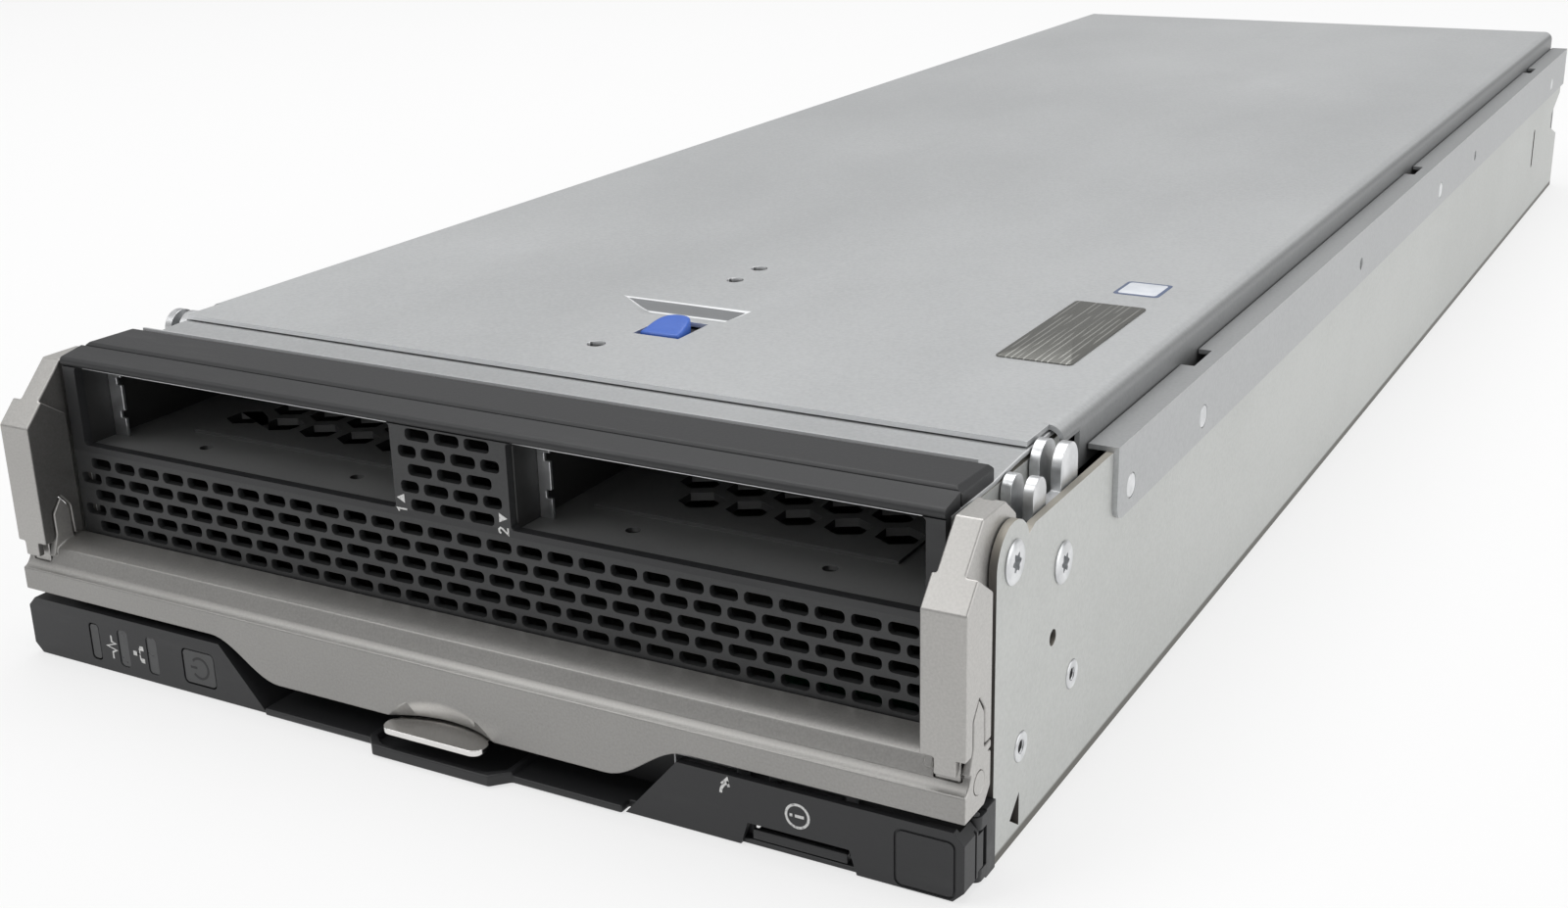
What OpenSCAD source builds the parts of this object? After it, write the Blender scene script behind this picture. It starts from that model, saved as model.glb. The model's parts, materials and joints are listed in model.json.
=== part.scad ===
// Half-height blade server: a flat metal case with two front drive bays, a perforated
// vent, a swing-out carrying handle that works two ejector forks, and a sliding cover.
// X runs to the right, Y to the back and Z up. The case lies on its base at Z = 0.

/* [Case] */
// Width over the two guide rails
chassis_w = 214.6; // [212:0.1:222]
// Height of the closed metal case
case_h = 63.5; // [62:0.1:70]
// Depth from the pivot datum to the rear edge of the side walls
case_d = 597; // [590:1:640]
// Thickness of the side walls
wall_t = 1.4; // [1:0.1:1.8]
// Thickness of the tray floor
floor_t = 1.2; // [0.8:0.1:2]
// Thickness of the cover sheet
cover_t = 1.0; // [0.8:0.1:1.2]
// Thickness of the guide rail sheet
rail_t = 1.0; // [0.8:0.1:1.4]
// Height of a guide rail
rail_h = 14.4; // [11:0.1:20]
// How far the rail's top lies below the cover's top
rail_drop = 6.5; // [6:0.1:8]
// Width of the rail's top flange
rail_flange = 5.9; // [5:0.1:6.2]
// Where the guide rails start
rail_start = 49.6; // [49:0.1:60]

/* [Front] */
// How far the bezel face stands ahead of the pivot datum
bezel_proud = 6; // [5:0.1:8]
// How far the handle and the control panels stand ahead of the pivot datum
grip_proud = 16.5; // [16:0.1:20]
// How far the latch ledge stands ahead of the pivot datum
ledge_proud = 20.5; // [20:0.1:26]
// Height of the black beam under the handle
beam_h = 12.9; // [12:0.1:14]

// How far the trim strip stands above the cover
trim_rise = 1.3; // [1:0.1:3]
// Depth of the trim strip
trim_d = 13.2; // [10:0.1:16]
// Width of the piece between the two drive bays
divider_w = 26.4; // [22:0.1:32]
// Width of the bezel post at each outer end
post_w = 3.4; // [3:0.1:5]
// Height of a drive bay's opening
bay_h = 16.6; // [15.5:0.1:18]
// Thickness of the ledge between the bays and the vent
ledge_t = 1.4; // [1:0.1:2]

/* [Vent] */
// Width of a vent slot
slot_w = 5.6; // [4:0.1:6]
// Height of a vent slot
slot_h = 2.3; // [1.6:0.1:2.7]
// Corner radius of a vent slot
slot_r = 0.9; // [0.5:0.1:1.1]
// Distance between neighbouring slots of a row
slot_pitch = 6.75; // [6.5:0.05:8]
// Distance between neighbouring rows
row_pitch = 3.46; // [3.2:0.02:4]
// Thickness of the perforated plates
vent_t = 1.6; // [1:0.1:2.5]

/* [Handle] */
// Height of the handle's pivot below the cover's top
pivot_drop = 11.1; // [10.5:0.1:12]
// Distance of the handle's pivot behind the pivot datum
pivot_y = 3.1; // [2.8:0.1:3.6]
// Radius of the wall's lobe around the pivot
lobe_r = 7; // [6:0.1:7.2]
// Radius of the pivot screws' shanks
pivot_r = 2; // [1.5:0.1:2.3]
// Width of a handle arm
arm_w = 8; // [7.4:0.1:8.4]
// Depth of a handle arm from front to back
arm_d = 10.2; // [9:0.1:10.4]
// Wall thickness of the handle's castings
cast_t = 1.5; // [1.2:0.1:1.8]
// Lowest edge of the handle bar at its middle
bar_low = 7; // [6.4:0.1:9]
// Top of the handle bar
bar_top = 25.4; // [25:0.1:27]
// Length of the bar's deep middle part
bar_mid_w = 82; // [60:1:90]
// How far the thumb tab and its scoop lie right of the centre
tab_x = 1.5; // [-10:0.1:10]
// Width of the thumb tab
tab_w = 23; // [18:0.5:30]
// Height of the thumb scoop above the bar's lower edge
scoop_h = 6.2; // [4:0.1:7]
// Depth of the thumb scoop at the bar's lower edge
scoop_d = 3.2; // [2:0.1:3.6]

/* [Ejector] */
// Distance of the ejector's pivot behind the pivot datum
fork_y = 25.1; // [24.6:0.1:26]
// Height of the ejector's pivot below the cover's top
fork_drop = 19.5; // [19:0.1:20.5]
// Width over the ejector's two plates
fork_w = 5.9; // [5.7:0.1:6.3]
// Thickness of each ejector plate
fork_t = 1.9; // [1.7:0.1:2]
// Radius of the crank on the handle arm
crank_r = 6; // [5.6:0.1:6.4]
// Angle that the handle swings through
swing = 64; // [50:1:70]

/* [Cover latch] */
// How far the cover slides to open
cover_slide = 14; // [10:0.5:16]
// Width of the latch button
button_w = 9.4; // [8:0.1:12]
// Length of the latch button
button_l = 10.4; // [9:0.1:12]
// Travel of the latch button
button_travel = 2.5; // [1.5:0.1:3]
// Depth of the finger dip behind the button
dip_depth = 1.8; // [1:0.1:2.2]

/* [Inside] */
// Thickness of the circuit boards
pcb_t = 1.6; // [1.2:0.1:2.2]
// Height of the spacers under the system board
spacer_h = 5.3; // [4.5:0.1:7]
// Depth of the drive cage
cage_d = 116; // [112:1:124]
// Thickness of the drive cage's sheet
cage_t = 1.0; // [0.8:0.1:1.2]
// Thickness of the plates beside the ejector pockets
pocket_t = 1.5; // [1.2:0.1:1.8]
// Width of a processor heat sink
sink_w = 78; // [60:1:79]
// Length of a processor heat sink
sink_l = 108; // [80:1:130]
// Height of a processor heat sink
sink_h = 44; // [24:0.5:46]
// Length of a memory socket
socket_l = 142; // [134:1:146]
// Distance between neighbouring memory sockets
memory_pitch = 9.2; // [8.6:0.1:9.4]
// Height of a memory module above its seat
module_h = 31; // [18:0.5:34]

/* [Clearances] */
// Gap between pieces that move past each other
run_gap = 0.3; // [0.3:0.05:0.35]
// Radial clearance of pins and bores
fit_gap = 0.05; // [0.02:0.01:0.08]

/* [Hidden] */
$fn = 48;

// Widths, counted from the centre plane
rail_out = chassis_w / 2;
wall_out = rail_out - rail_t;
wall_in = wall_out - wall_t;
fork_out = wall_in - run_gap;
fork_in = fork_out - fork_w;
bezel_out = fork_in - run_gap;
pocket_in = bezel_out - pocket_t;
cage_in = pocket_in - cage_t;
bay_out = bezel_out - post_w;
bay_in = divider_w / 2;
bay_mid = (bay_in + bay_out) / 2;
flange_in = rail_out - rail_flange;
cover_out = flange_in - 0.4;
arm_out = wall_out + rail_t / 2;
arm_in = arm_out - arm_w;
neck_in = fork_in + 0.9;
neck_out = fork_out;
link_t = fork_w - 2 * fork_t - 2 * run_gap;
link_in = fork_in + fork_t + run_gap;

// Depths
tray_front = pivot_y - lobe_r;
bezel_front = -bezel_proud;
grip_front = -grip_proud;
beam_front = bezel_front - 1.6;
arm_back = grip_front + arm_d;
trim_back = 0.2 + trim_d;
slope_back = trim_back + 12.1;
cover_front = slope_back + 3;
flange_front = cover_front + 17.5;
deck_back = flange_front - 2;
cover_back = case_d - 2;

// Heights
cover_under = case_h - cover_t;
trim_top = case_h + trim_rise;
deck_t = 1;
deck_top = cover_under - run_gap;
deck_low = deck_top - 0.8;
bay_top = deck_low;
bay_low = bay_top - bay_h;
vent_top = bay_low - ledge_t;
cage_floor = bay_low - 0.6;
beam_low = 0.3;
beam_top = beam_low + beam_h;
rail_top = case_h - rail_drop;
wall_top = rail_top - rail_t;
pivot_z = case_h - pivot_drop;
fork_z = case_h - fork_drop;

// Ejector linkage: the link keeps its direction while both cranks turn
fork_ratio = 0.5;
fork_crank = crank_r / fork_ratio;
crank_y = pivot_y + crank_r * sin(swing / 2);
crank_z = pivot_z - crank_r * cos(swing / 2);
lobe_y = fork_y + fork_crank * sin(swing * fork_ratio / 2);
lobe_z = fork_z - fork_crank * cos(swing * fork_ratio / 2);
crank_pin_r = 1.5;
link_slack = 0.6;

// Inside layout
board_low = floor_t + spacer_h;
board_top = board_low + pcb_t;
board_front = cage_d + pcb_t + 1.4;
board_back = case_d - 5;
board_out = wall_in - 1.4;
bank_y = [board_front + 22, board_front + 182];
memory_x = sink_w / 2 + 8.5;
memory_n = floor((board_out - memory_x - 4.5) / memory_pitch);
rear_y = board_back - 18;
mezz_room = rear_y - bank_y[1] - socket_l;
mezz_y = bank_y[1] + socket_l + mezz_room * 0.275;
mezz_l = mezz_room * 0.64;
mezz_out = board_out * 0.6;
mezz_low = board_top + 16;
sink_base = 5;
socket_z = 4;
processor_t = 2;
sink_low = board_top + socket_z + processor_t;

// The origin is the middle of the footprint, on the base
front_y = -ledge_proud;
mid_y = (front_y + case_d) / 2;

module place() {
    translate([0, -mid_y, 0]) children();
}

// A piece and its mirror image
module pair() {
    children();
    mirror([1, 0, 0]) children();
}

module block(x, y, z) {
    translate([x[0], y[0], z[0]]) cube([x[1] - x[0], y[1] - y[0], z[1] - z[0]]);
}

// An outline in Y and Z, extruded along X
module along_x(x) {
    translate([x[0], 0, 0]) rotate([90, 0, 90]) linear_extrude(x[1] - x[0]) children();
}

// An outline in X and Z, extruded along Y
module along_y(y) {
    translate([0, y[1], 0]) rotate([90, 0, 0]) linear_extrude(y[1] - y[0]) children();
}

// A round bar along X
module bar_x(r, x, y, z) {
    translate([x[0], y, z]) rotate([0, 90, 0]) cylinder(r = r, h = x[1] - x[0]);
}

// A round bar along Y
module bar_y(r, x, y, z) {
    translate([x, y[1], z]) rotate([90, 0, 0]) cylinder(r = r, h = y[1] - y[0]);
}

// A flat rectangle with round corners, centred
module round_rect(w, h, r) {
    square([w - 2 * r, h], center = true);
    square([w, h - 2 * r], center = true);
    for (i = [-1, 1], j = [-1, 1])
        translate([i * (w / 2 - r), j * (h / 2 - r)]) circle(r = r);
}

// A straight arm between two points, with a round end at each
module round_arm(a, b, r) {
    d = b - a;
    n = [-d[1], d[0]] * r / norm(d);
    polygon([a + n, b + n, b - n, a - n]);
    translate(a) circle(r = r);
    translate(b) circle(r = r);
}

/* Case */

// Outline of a side wall: a lobe around the pivot, and a notched rear edge
module wall_outline() {
    notch = 18;
    polygon([
        [tray_front, 0], [case_d, 0], [case_d, 22], [case_d - notch, 27],
        [case_d - notch, 33], [case_d - 1, 39], [case_d - 1, wall_top],
        [pivot_y + lobe_r + 2, wall_top], [pivot_y, pivot_z], [tray_front, pivot_z]
    ]);
    translate([pivot_y, pivot_z]) circle(r = lobe_r);
}

nut_spots = [[31.2, 20.2], [7.6, 17.1]];
nut_r = 2.7;
rivet_r = 2.4;
rivet_spots = [rail_start + 7.4, rail_start + 51.2, rail_start + 290, case_d - 36];
rivet_z = rail_top - 9.6;
guide_spots = [rail_start + 187, rail_start + 346.6];

module side_wall() {
    color("silver") place() difference() {
        along_x([wall_in, wall_out]) wall_outline();
        bar_x(pivot_r + fit_gap, [wall_in - 1, wall_out + 1], pivot_y, pivot_z);
        bar_x(pivot_r + fit_gap, [wall_in - 1, wall_out + 1], fork_y, fork_z);
        for (p = nut_spots)
            bar_x(nut_r + fit_gap, [wall_in - 1, wall_out + 1], p[0], p[1]);
        for (y = rivet_spots)
            bar_x(rivet_r + fit_gap, [wall_in - 1, wall_out + 1], y, rivet_z);
        bar_x(1.5, [wall_in - 1, wall_out + 1], 21.4, 31.4);
        along_x([wall_in - 1, wall_out + 1])
            translate([case_d - 62, 26]) round_rect(2.6, 15, 1.2);
        along_x([wall_in - 1, wall_out + 1])
            polygon([[3.4, 5], [7.4, 2.2], [7.4, 8.6]]);
    }
}

module side_wall_left() {
    mirror([1, 0, 0]) side_wall();
}

module side_wall_right() {
    side_wall();
}

module base_tray() {
    color("silver") place() block([-wall_in, wall_in], [tray_front, case_d], [0, floor_t]);
}

hook_l = 10;
hook_spots = [90, 300, case_d - 87];

// Side outline of a rail, with a round lower front corner
module rail_outline() {
    low = rail_top - rail_h;
    polygon([
        [rail_start + 3, low], [case_d - 1, low], [case_d - 1, rail_top],
        [rail_start, rail_top], [rail_start, low + 3]
    ]);
    translate([rail_start + 3, low + 3]) circle(r = 3);
}

module rail() {
    notch_l = hook_l + 2;
    difference() {
        union() {
            along_x([wall_out, rail_out]) rail_outline();
            block([flange_in, wall_out], [rail_start, case_d - 1], [wall_top, rail_top]);
        }
        for (y = hook_spots)
            block([flange_in - 1, cover_out + 3.2],
                  [y + cover_slide - 1, y + cover_slide - 1 + notch_l], [wall_top - 1, rail_top + 1]);
        for (y = rivet_spots)
            bar_x(rivet_r + fit_gap, [wall_in, rail_out + 1], y, rivet_z);
        for (y = guide_spots)
            bar_x(1.6, [wall_out - 0.01, rail_out + 1], y, rivet_z + 0.6);
    }
}

module rail_left() {
    color("gainsboro") place() mirror([1, 0, 0]) rail();
}

module rail_right() {
    color("gainsboro") place() rail();
}

module rail_rivets() {
    color("white") place() pair() for (y = rivet_spots) {
        bar_x(rivet_r, [wall_in, rail_out], y, rivet_z);
        bar_x(rivet_r + 1, [wall_in - 0.6, wall_in], y, rivet_z);
    }
}

// Threaded nuts pressed into the side walls near the front
module press_nuts() {
    color("white") place() pair() for (p = nut_spots) difference() {
        union() {
            bar_x(nut_r, [wall_in, wall_out + 0.2], p[0], p[1]);
            bar_x(nut_r + 0.8, [wall_in - 1, wall_in], p[0], p[1]);
        }
        bar_x(1.3, [wall_in - 2, wall_out + 1], p[0], p[1]);
    }
}

module front_deck() {
    color("silver") place() along_x([-bezel_out, bezel_out]) polygon([
        [tray_front, deck_low - deck_t], [trim_back, deck_low - deck_t],
        [slope_back, deck_top - deck_t], [deck_back, deck_top - deck_t], [deck_back, deck_top],
        [slope_back, deck_top], [trim_back, deck_low], [tray_front, deck_low]
    ]);
}

// Steel plates that close the ejector pockets and carry the deck
module pocket_plates() {
    color("silver") place() pair() difference() {
        block([pocket_in, bezel_out], [tray_front, deck_back], [floor_t, deck_low - deck_t]);
        bar_x(pivot_r + fit_gap, [pocket_in - 1, bezel_out + 1], pivot_y, pivot_z);
        bar_x(pivot_r + fit_gap, [pocket_in - 1, bezel_out + 1], fork_y, fork_z);
    }
}

module star_screw(y, z) {
    head_r = 3.7;
    head_t = 0.6;
    difference() {
        union() {
            bar_x(pivot_r, [pocket_in, wall_out], y, z);
            bar_x(head_r, [wall_out, wall_out + head_t], y, z);
        }
        translate([wall_out + head_t / 2, y, z]) rotate([0, 90, 0]) cylinder(r = 1.3, h = 2, $fn = 6);
    }
}

// The screws that the handle and the ejectors turn on
module pivot_screws() {
    color("white") place() pair() {
        star_screw(pivot_y, pivot_z);
        star_screw(fork_y, fork_z);
    }
}

/* Front */

trim_groove = 0.5;

// The flat trim strip on top of the deck, with bevelled ends
module top_trim() {
    bevel = 1.2;
    color("dimgray") place() difference() {
        along_x([-bezel_out, bezel_out]) polygon([
            [0.2, deck_low], [trim_back, deck_low], [trim_back, trim_top - 0.9],
            [trim_back - 0.6, trim_top - 0.3], [0.9, trim_top], [0.2, trim_top - 0.5]
        ]);
        pair() along_y([-1, trim_back + 1]) polygon([
            [bezel_out - bevel, trim_top + 0.1], [bezel_out + 0.1, trim_top - bevel],
            [bezel_out + 0.1, trim_top + 0.1]
        ]);
    }
}

// Cross-section of the bezel's head: a round nose over a shallow groove
module bezel_head() {
    nose = (trim_top - 1.4 - bay_top) / 2;
    back = 0.2 - trim_groove;
    polygon([
        [bezel_front + nose - 0.3, bay_top], [back, bay_top], [back, trim_top - 0.5],
        [back - 0.5, trim_top - 0.6], [bezel_front + nose - 0.3, trim_top - 1.4]
    ]);
    translate([bezel_front + nose - 0.3, bay_top + nose]) circle(r = nose);
}

module bezel() {
    color("dimgray") place() {
        along_x([-bezel_out, bezel_out]) bezel_head();
        difference() {
            along_y([bezel_front, tray_front]) translate([0, (vent_top + bay_top) / 2])
                square([2 * bezel_out, bay_top - vent_top], center = true);
            for (s = [-1, 1])
                along_y([bezel_front - 1, tray_front + 1])
                    translate([s * bay_mid, (bay_low + bay_top) / 2])
                        round_rect(bay_out - bay_in, bay_h, 0.8);
            block([-bay_in, bay_in], [bezel_front - 1, tray_front + 1], [bay_low, bay_top]);
        }
    }
}

vent_rows = floor((vent_top - beam_top - 1) / row_pitch);

// Rows of round-cornered slots, each row half a step from the next
module vent_slots() {
    for (row = [0 : vent_rows - 1]) {
        shift = row % 2 == 0 ? 0.5 : 0;
        count = floor((bezel_out - slot_w / 2 - 0.8) / slot_pitch - shift);
        first = row % 2 == 0 ? -count - 1 : -count;
        for (i = [first : count])
            translate([(i + shift) * slot_pitch, vent_top - 2.3 - row * row_pitch])
                round_rect(slot_w, slot_h, slot_r);
    }
}

module vent_grille() {
    color("dimgray") place() along_y([bezel_front, bezel_front + vent_t]) difference() {
        translate([-bezel_out, beam_top]) square([2 * bezel_out, vent_top - beam_top]);
        vent_slots();
    }
}

divider_rows = floor((bay_h - 1) / row_pitch) + 1;

// The perforated piece between the bays: rows of three and of four slots
module divider_grille() {
    edge_slot = slot_w - 1.4;
    color("dimgray") place() along_y([bezel_front, bezel_front + vent_t]) difference() {
        translate([-bay_in, bay_low]) square([divider_w, bay_h]);
        for (row = [0 : divider_rows - 1])
            translate([0, bay_top - 1.5 - row * row_pitch])
                if (row % 2 == 0)
                    for (i = [-1 : 1]) translate([i * slot_pitch, 0]) round_rect(slot_w, slot_h, slot_r);
                else
                    for (s = [-1, 1]) {
                        translate([s * slot_pitch / 2, 0]) round_rect(slot_w, slot_h, slot_r);
                        translate([s * (1.5 * slot_pitch - 0.7), 0]) round_rect(edge_slot, slot_h, slot_r);
                    }
    }
}

panel_slope = 11;
panel_in = 42;
lip_t = 1.5;
panel_t = 1.5;
pin_r = 0.8;
knuckle_r = 1.4;
door_pivot = [arm_out - knuckle_r, beam_front - knuckle_r - run_gap];
knuckle_z = [beam_low + 3, beam_top - 3.2];
port_low = board_low - 2.1;
usb_x = arm_out - 50.8;
usb_w = 13.1;
usb_h = 5.7;
service_x = arm_out - 30.8;
service_w = 15;
info_x = arm_out - 30.3;
info_w = 18;
info_z = [floor_t + run_gap, floor_t + run_gap + 1];
info_travel = 45;

// The black beam that closes the front below the vent
module lower_beam() {
    color("dimgray") place() {
        difference() {
            block([-arm_out, arm_out], [beam_front, tray_front], [beam_low, beam_top]);
            block([info_x - info_w / 2 - run_gap, info_x + info_w / 2 + run_gap],
                  [beam_front - 1, tray_front + 1], [info_z[0] - run_gap, info_z[1] + run_gap]);
            block([usb_x - usb_w / 2, usb_x + usb_w / 2], [beam_front - 1, tray_front + 1],
                  [port_low + pcb_t, port_low + pcb_t + usb_h]);
            block([service_x - service_w / 2, service_x + service_w / 2],
                  [beam_front - 1, tray_front + 1], [port_low + pcb_t, port_low + pcb_t + usb_h]);
        }
        for (z = [[beam_low + 0.4, knuckle_z[0] - run_gap], [knuckle_z[1] + run_gap, beam_top - 0.4]])
            difference() {
                union() {
                    block([door_pivot[0] - knuckle_r, door_pivot[0] + knuckle_r],
                          [door_pivot[1], beam_front], z);
                    translate([door_pivot[0], door_pivot[1], z[0]]) cylinder(r = knuckle_r, h = z[1] - z[0]);
                }
                translate([door_pivot[0], door_pivot[1], z[0] - 1])
                    cylinder(r = pin_r + fit_gap, h = z[1] - z[0] + 2);
            }
    }
}

// Outline of the ledge in plan: a tray under the thumb tab, drawn in by d
module ledge_outline(d) {
    half = tab_w / 2;
    translate([tab_x, 0]) polygon([
        [d - half - 5, beam_front], [d - half - 5, grip_front - 0.8 + d / 3],
        [d - half - 2, front_y + d], [half + 2 - d, front_y + d],
        [half + 5 - d, grip_front - 0.8 + d / 3], [half + 5 - d, beam_front]
    ]);
}

// The black lip under the handle bar, with the ledge that the thumb tab stands over
module lower_lip() {
    color("dimgray") place() difference() {
        union() {
            block([-panel_in + run_gap, panel_in - run_gap], [grip_front - 0.8, beam_front],
                  [beam_low, beam_low + lip_t]);
            block([0, panel_in + 7], [grip_front + panel_t + run_gap, beam_front],
                  [beam_low, beam_low + lip_t]);
            translate([0, 0, beam_low]) linear_extrude(lip_t + 0.8) ledge_outline(0);
        }
        translate([0, 0, beam_low + 1]) linear_extrude(lip_t + 1) ledge_outline(1.4);
    }
}

// Outline of a lower front panel: its inner end slopes down towards the middle
module panel_outline() {
    top = beam_top - 0.3;
    polygon([
        [panel_in, beam_low], [arm_out - 2, beam_low], [arm_out, beam_low + 2],
        [arm_out, top - 2], [arm_out - 2, top], [panel_in + panel_slope, top]
    ]);
}

plate_w = 11;
plate_h = 10.7;
plate_x = arm_out - 7;

// A groove down the end of a front panel
module end_groove() {
    block([arm_out - 0.5, arm_out + 1], [grip_front + 4.3, grip_front + 4.9], [-1, beam_top + 1]);
}

// The groove around the bare field at the end of the door
module field_groove() {
    line_w = 0.4;
    along_y([grip_front - 1, grip_front + 0.35]) translate([plate_x, beam_low + 5.6]) difference() {
        round_rect(plate_w, plate_h, 1.5);
        round_rect(plate_w - 2 * line_w, plate_h - 2 * line_w, 1.5 - line_w);
    }
}

key_travel = 1;
key_z = beam_low + 5.9;
locator_x = 18.6 - arm_out;
light_x = [26.7 - arm_out, 34.8 - arm_out];
bar_key = [2.9, 8.2];
power_key_x = 47.6 - arm_out;
power_key = [8.8, 7.8];

module control_panel() {
    color("dimgray") place() difference() {
        mirror([1, 0, 0]) along_y([grip_front, beam_front]) panel_outline();
        mirror([1, 0, 0]) along_y([grip_front + panel_t, beam_front + 1]) polygon([
            [panel_in + 3, beam_low + 1.2], [arm_out - panel_t, beam_low + 1.2],
            [arm_out - panel_t, beam_top - 1.5], [panel_in + panel_slope + 1, beam_top - 1.5]
        ]);
        mirror([1, 0, 0]) end_groove();
        along_y([grip_front - 1, grip_front + panel_t + 1]) {
            translate([locator_x, key_z]) round_rect(bar_key[0], bar_key[1], 0.9);
            for (x = light_x) translate([x, key_z]) round_rect(bar_key[0], bar_key[1], 0.9);
            translate([power_key_x, key_z]) round_rect(power_key[0], power_key[1], 1.2);
        }
    }
}

// A key: its cap stands in the panel and its stem reaches the switch behind
module key(x, size, r) {
    stem = 1.2;
    back = beam_front - pcb_t - 1 - key_travel - run_gap;
    along_y([grip_front + 0.1, grip_front + panel_t + 1.4]) translate([x, key_z])
        round_rect(size[0] - 2 * run_gap, size[1] - 2 * run_gap, r);
    bar_y(stem, x, [grip_front + panel_t + 1.4, back], key_z);
    along_y([grip_front + panel_t + run_gap, grip_front + panel_t + 1.4]) translate([x, key_z])
        square([size[0] + 0.8, size[1] + 0.6], center = true);
}

module power_button() {
    color("gray") place() key(power_key_x, power_key, 1);
}

module locator_button() {
    color("gray") place() key(locator_x, bar_key, 0.7);
}

// Clear light pipes from the board's lamps to the panel face
module light_pipes() {
    color("lightgray") place() for (x = light_x) {
        along_y([grip_front + 0.2, beam_front - pcb_t]) translate([x, key_z])
            round_rect(bar_key[0] - 0.1, bar_key[1] - 0.1, 0.8);
    }
}

// The board behind the control panel, with a switch behind each key
module control_board() {
    color("darkgreen") place() {
        block([-arm_out + panel_t + 0.5, -panel_in - panel_slope - 1],
              [beam_front - pcb_t, beam_front], [beam_low + 1.5, beam_top - 1.8]);
        for (x = [power_key_x, locator_x])
            along_y([beam_front - pcb_t - 1, beam_front - pcb_t]) translate([x, key_z])
                square([3.5, 3.5], center = true);
    }
}

module port_board() {
    color("darkgreen") place()
        block([usb_x - 12, service_x + 14], [tray_front + 0.5, 34], [port_low, port_low + pcb_t]);
}

// A metal receptacle shell, open at the front, with its contact tongue
module receptacle(x, w, tongue_w) {
    low = port_low + pcb_t;
    front = beam_front - 4;
    difference() {
        block([x - w / 2, x + w / 2], [front, 8], [low, low + usb_h]);
        block([x - w / 2 + 0.4, x + w / 2 - 0.4], [front - 1, 6], [low + 0.4, low + usb_h - 0.4]);
    }
    block([x - tongue_w / 2, x + tongue_w / 2], [front + 1, 6.5], [low + 2.7, low + 3.9]);
}

module port_shells() {
    color("silver") place() {
        receptacle(usb_x, usb_w, 10.6);
        receptacle(service_x, service_w, 11.6);
    }
}

// Outline of the finger notch in the door's lower edge
module door_notch() {
    half = info_w / 2;
    polygon([
        [info_x - half - 2.5, beam_low - 1], [info_x - half - 2, beam_low],
        [info_x - half - 0.6, beam_low + 4.4], [info_x + half + 0.6, beam_low + 4.4],
        [info_x + half + 2, beam_low], [info_x + half + 2.5, beam_low - 1]
    ]);
}

// The hinged door over the front ports, wrapped around the case's end
module port_door() {
    wrap_back = door_pivot[1] - knuckle_r - run_gap;
    color("dimgray") place() difference() {
        union() {
            difference() {
                along_y([grip_front, wrap_back]) panel_outline();
                block([panel_in - 1, arm_out - panel_t], [grip_front + panel_t, wrap_back + 1],
                      [-1, beam_top + 1]);
            }
            block([arm_out - panel_t, arm_out], [wrap_back - 0.5, door_pivot[1]], knuckle_z);
            translate([door_pivot[0], door_pivot[1], knuckle_z[0]])
                cylinder(r = knuckle_r, h = knuckle_z[1] - knuckle_z[0]);
        }
        along_y([grip_front - 1, grip_front + panel_t + 1]) door_notch();
        end_groove();
        field_groove();
        translate([door_pivot[0], door_pivot[1], -1]) cylinder(r = pin_r + fit_gap, h = beam_top + 2);
    }
}

module door_pin() {
    color("white") place() translate([door_pivot[0], door_pivot[1], beam_low + 0.4])
        cylinder(r = pin_r, h = beam_top - beam_low - 0.8);
}

// The flat pull-out tab behind the door's notch
module info_tab() {
    info_back = tray_front + info_travel + 4.9;
    color("dimgray") place() {
        block([info_x - info_w / 2, info_x + info_w / 2], [grip_front + 0.6, info_back], info_z);
        block([info_x - info_w / 2, info_x + info_w / 2], [grip_front + 0.6, grip_front + 1.6],
              [info_z[0], info_z[1] + 0.8]);
    }
}

/* Handle */

bar_front_top = 19.5;
edge_run = 17;
scoop_half = tab_w / 2 + 1.5;
scoop_r = (scoop_half * scoop_half + scoop_d * scoop_d) / (2 * scoop_d);
bar_end_low = beam_top + 1.4;

// Points of the bar's rounded shoulder, offset inwards by d
function shoulder(d) = [
    for (i = [0 : 8]) let (t = i / 8, s = (1 - cos(180 * t)) / 2)
        [grip_front + d + 3.2 * t + 0.6 * sin(180 * t), bar_front_top - d * 0.2 + (4.6 - d * 0.6) * s]
];

module bar_profile() {
    top = bar_top;
    polygon(concat(
        [[grip_front, bar_low]], shoulder(0),
        [[grip_front + 5, top - 0.5], [arm_back, top], [arm_back, top - cast_t],
         [grip_front + 5.4, top - 0.5 - cast_t]],
        [for (i = [8 : -1 : 0]) shoulder(cast_t)[i]],
        [[grip_front + cast_t, bar_low]]
    ));
}

// Height of the bar's lower edge over the run from its shallow end to its deep middle
function bar_edge(side) = [
    for (i = [0 : 12]) let (t = side > 0 ? 12 - i : i)
        [side * (bar_mid_w / 2 + edge_run * (0.82 - t / 12)),
         bar_low + (bar_end_low - bar_low) * (1 + cos(15 * t)) / 2]
];

// Outline of the bar's front: its lower edge curves down to the deep middle
module bar_front_outline() {
    polygon(concat(
        [[-arm_out, bar_end_low]], bar_edge(-1), bar_edge(1),
        [[arm_out, bar_end_low], [arm_out, bar_top + 1], [-arm_out, bar_top + 1]]
    ));
}

tang_pin = [grip_front + 5.5, 19.7];

// Outline of the bar's side tongue, which overlaps the arm's foot
module tongue_outline(d) {
    y = grip_front;
    polygon([
        [y + 1.6 - d, bar_front_top + 3], [y + 3.2 - d, bar_top + 1.5],
        [y + 3.2 - d, bar_top + 6 + d], [y + 5.4, bar_top + 9 + 1.5 * d],
        [y + 7.3 + d, bar_top + 6.3 + d], [y + 7.6 + d, bar_front_top + 3]
    ]);
}

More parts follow.
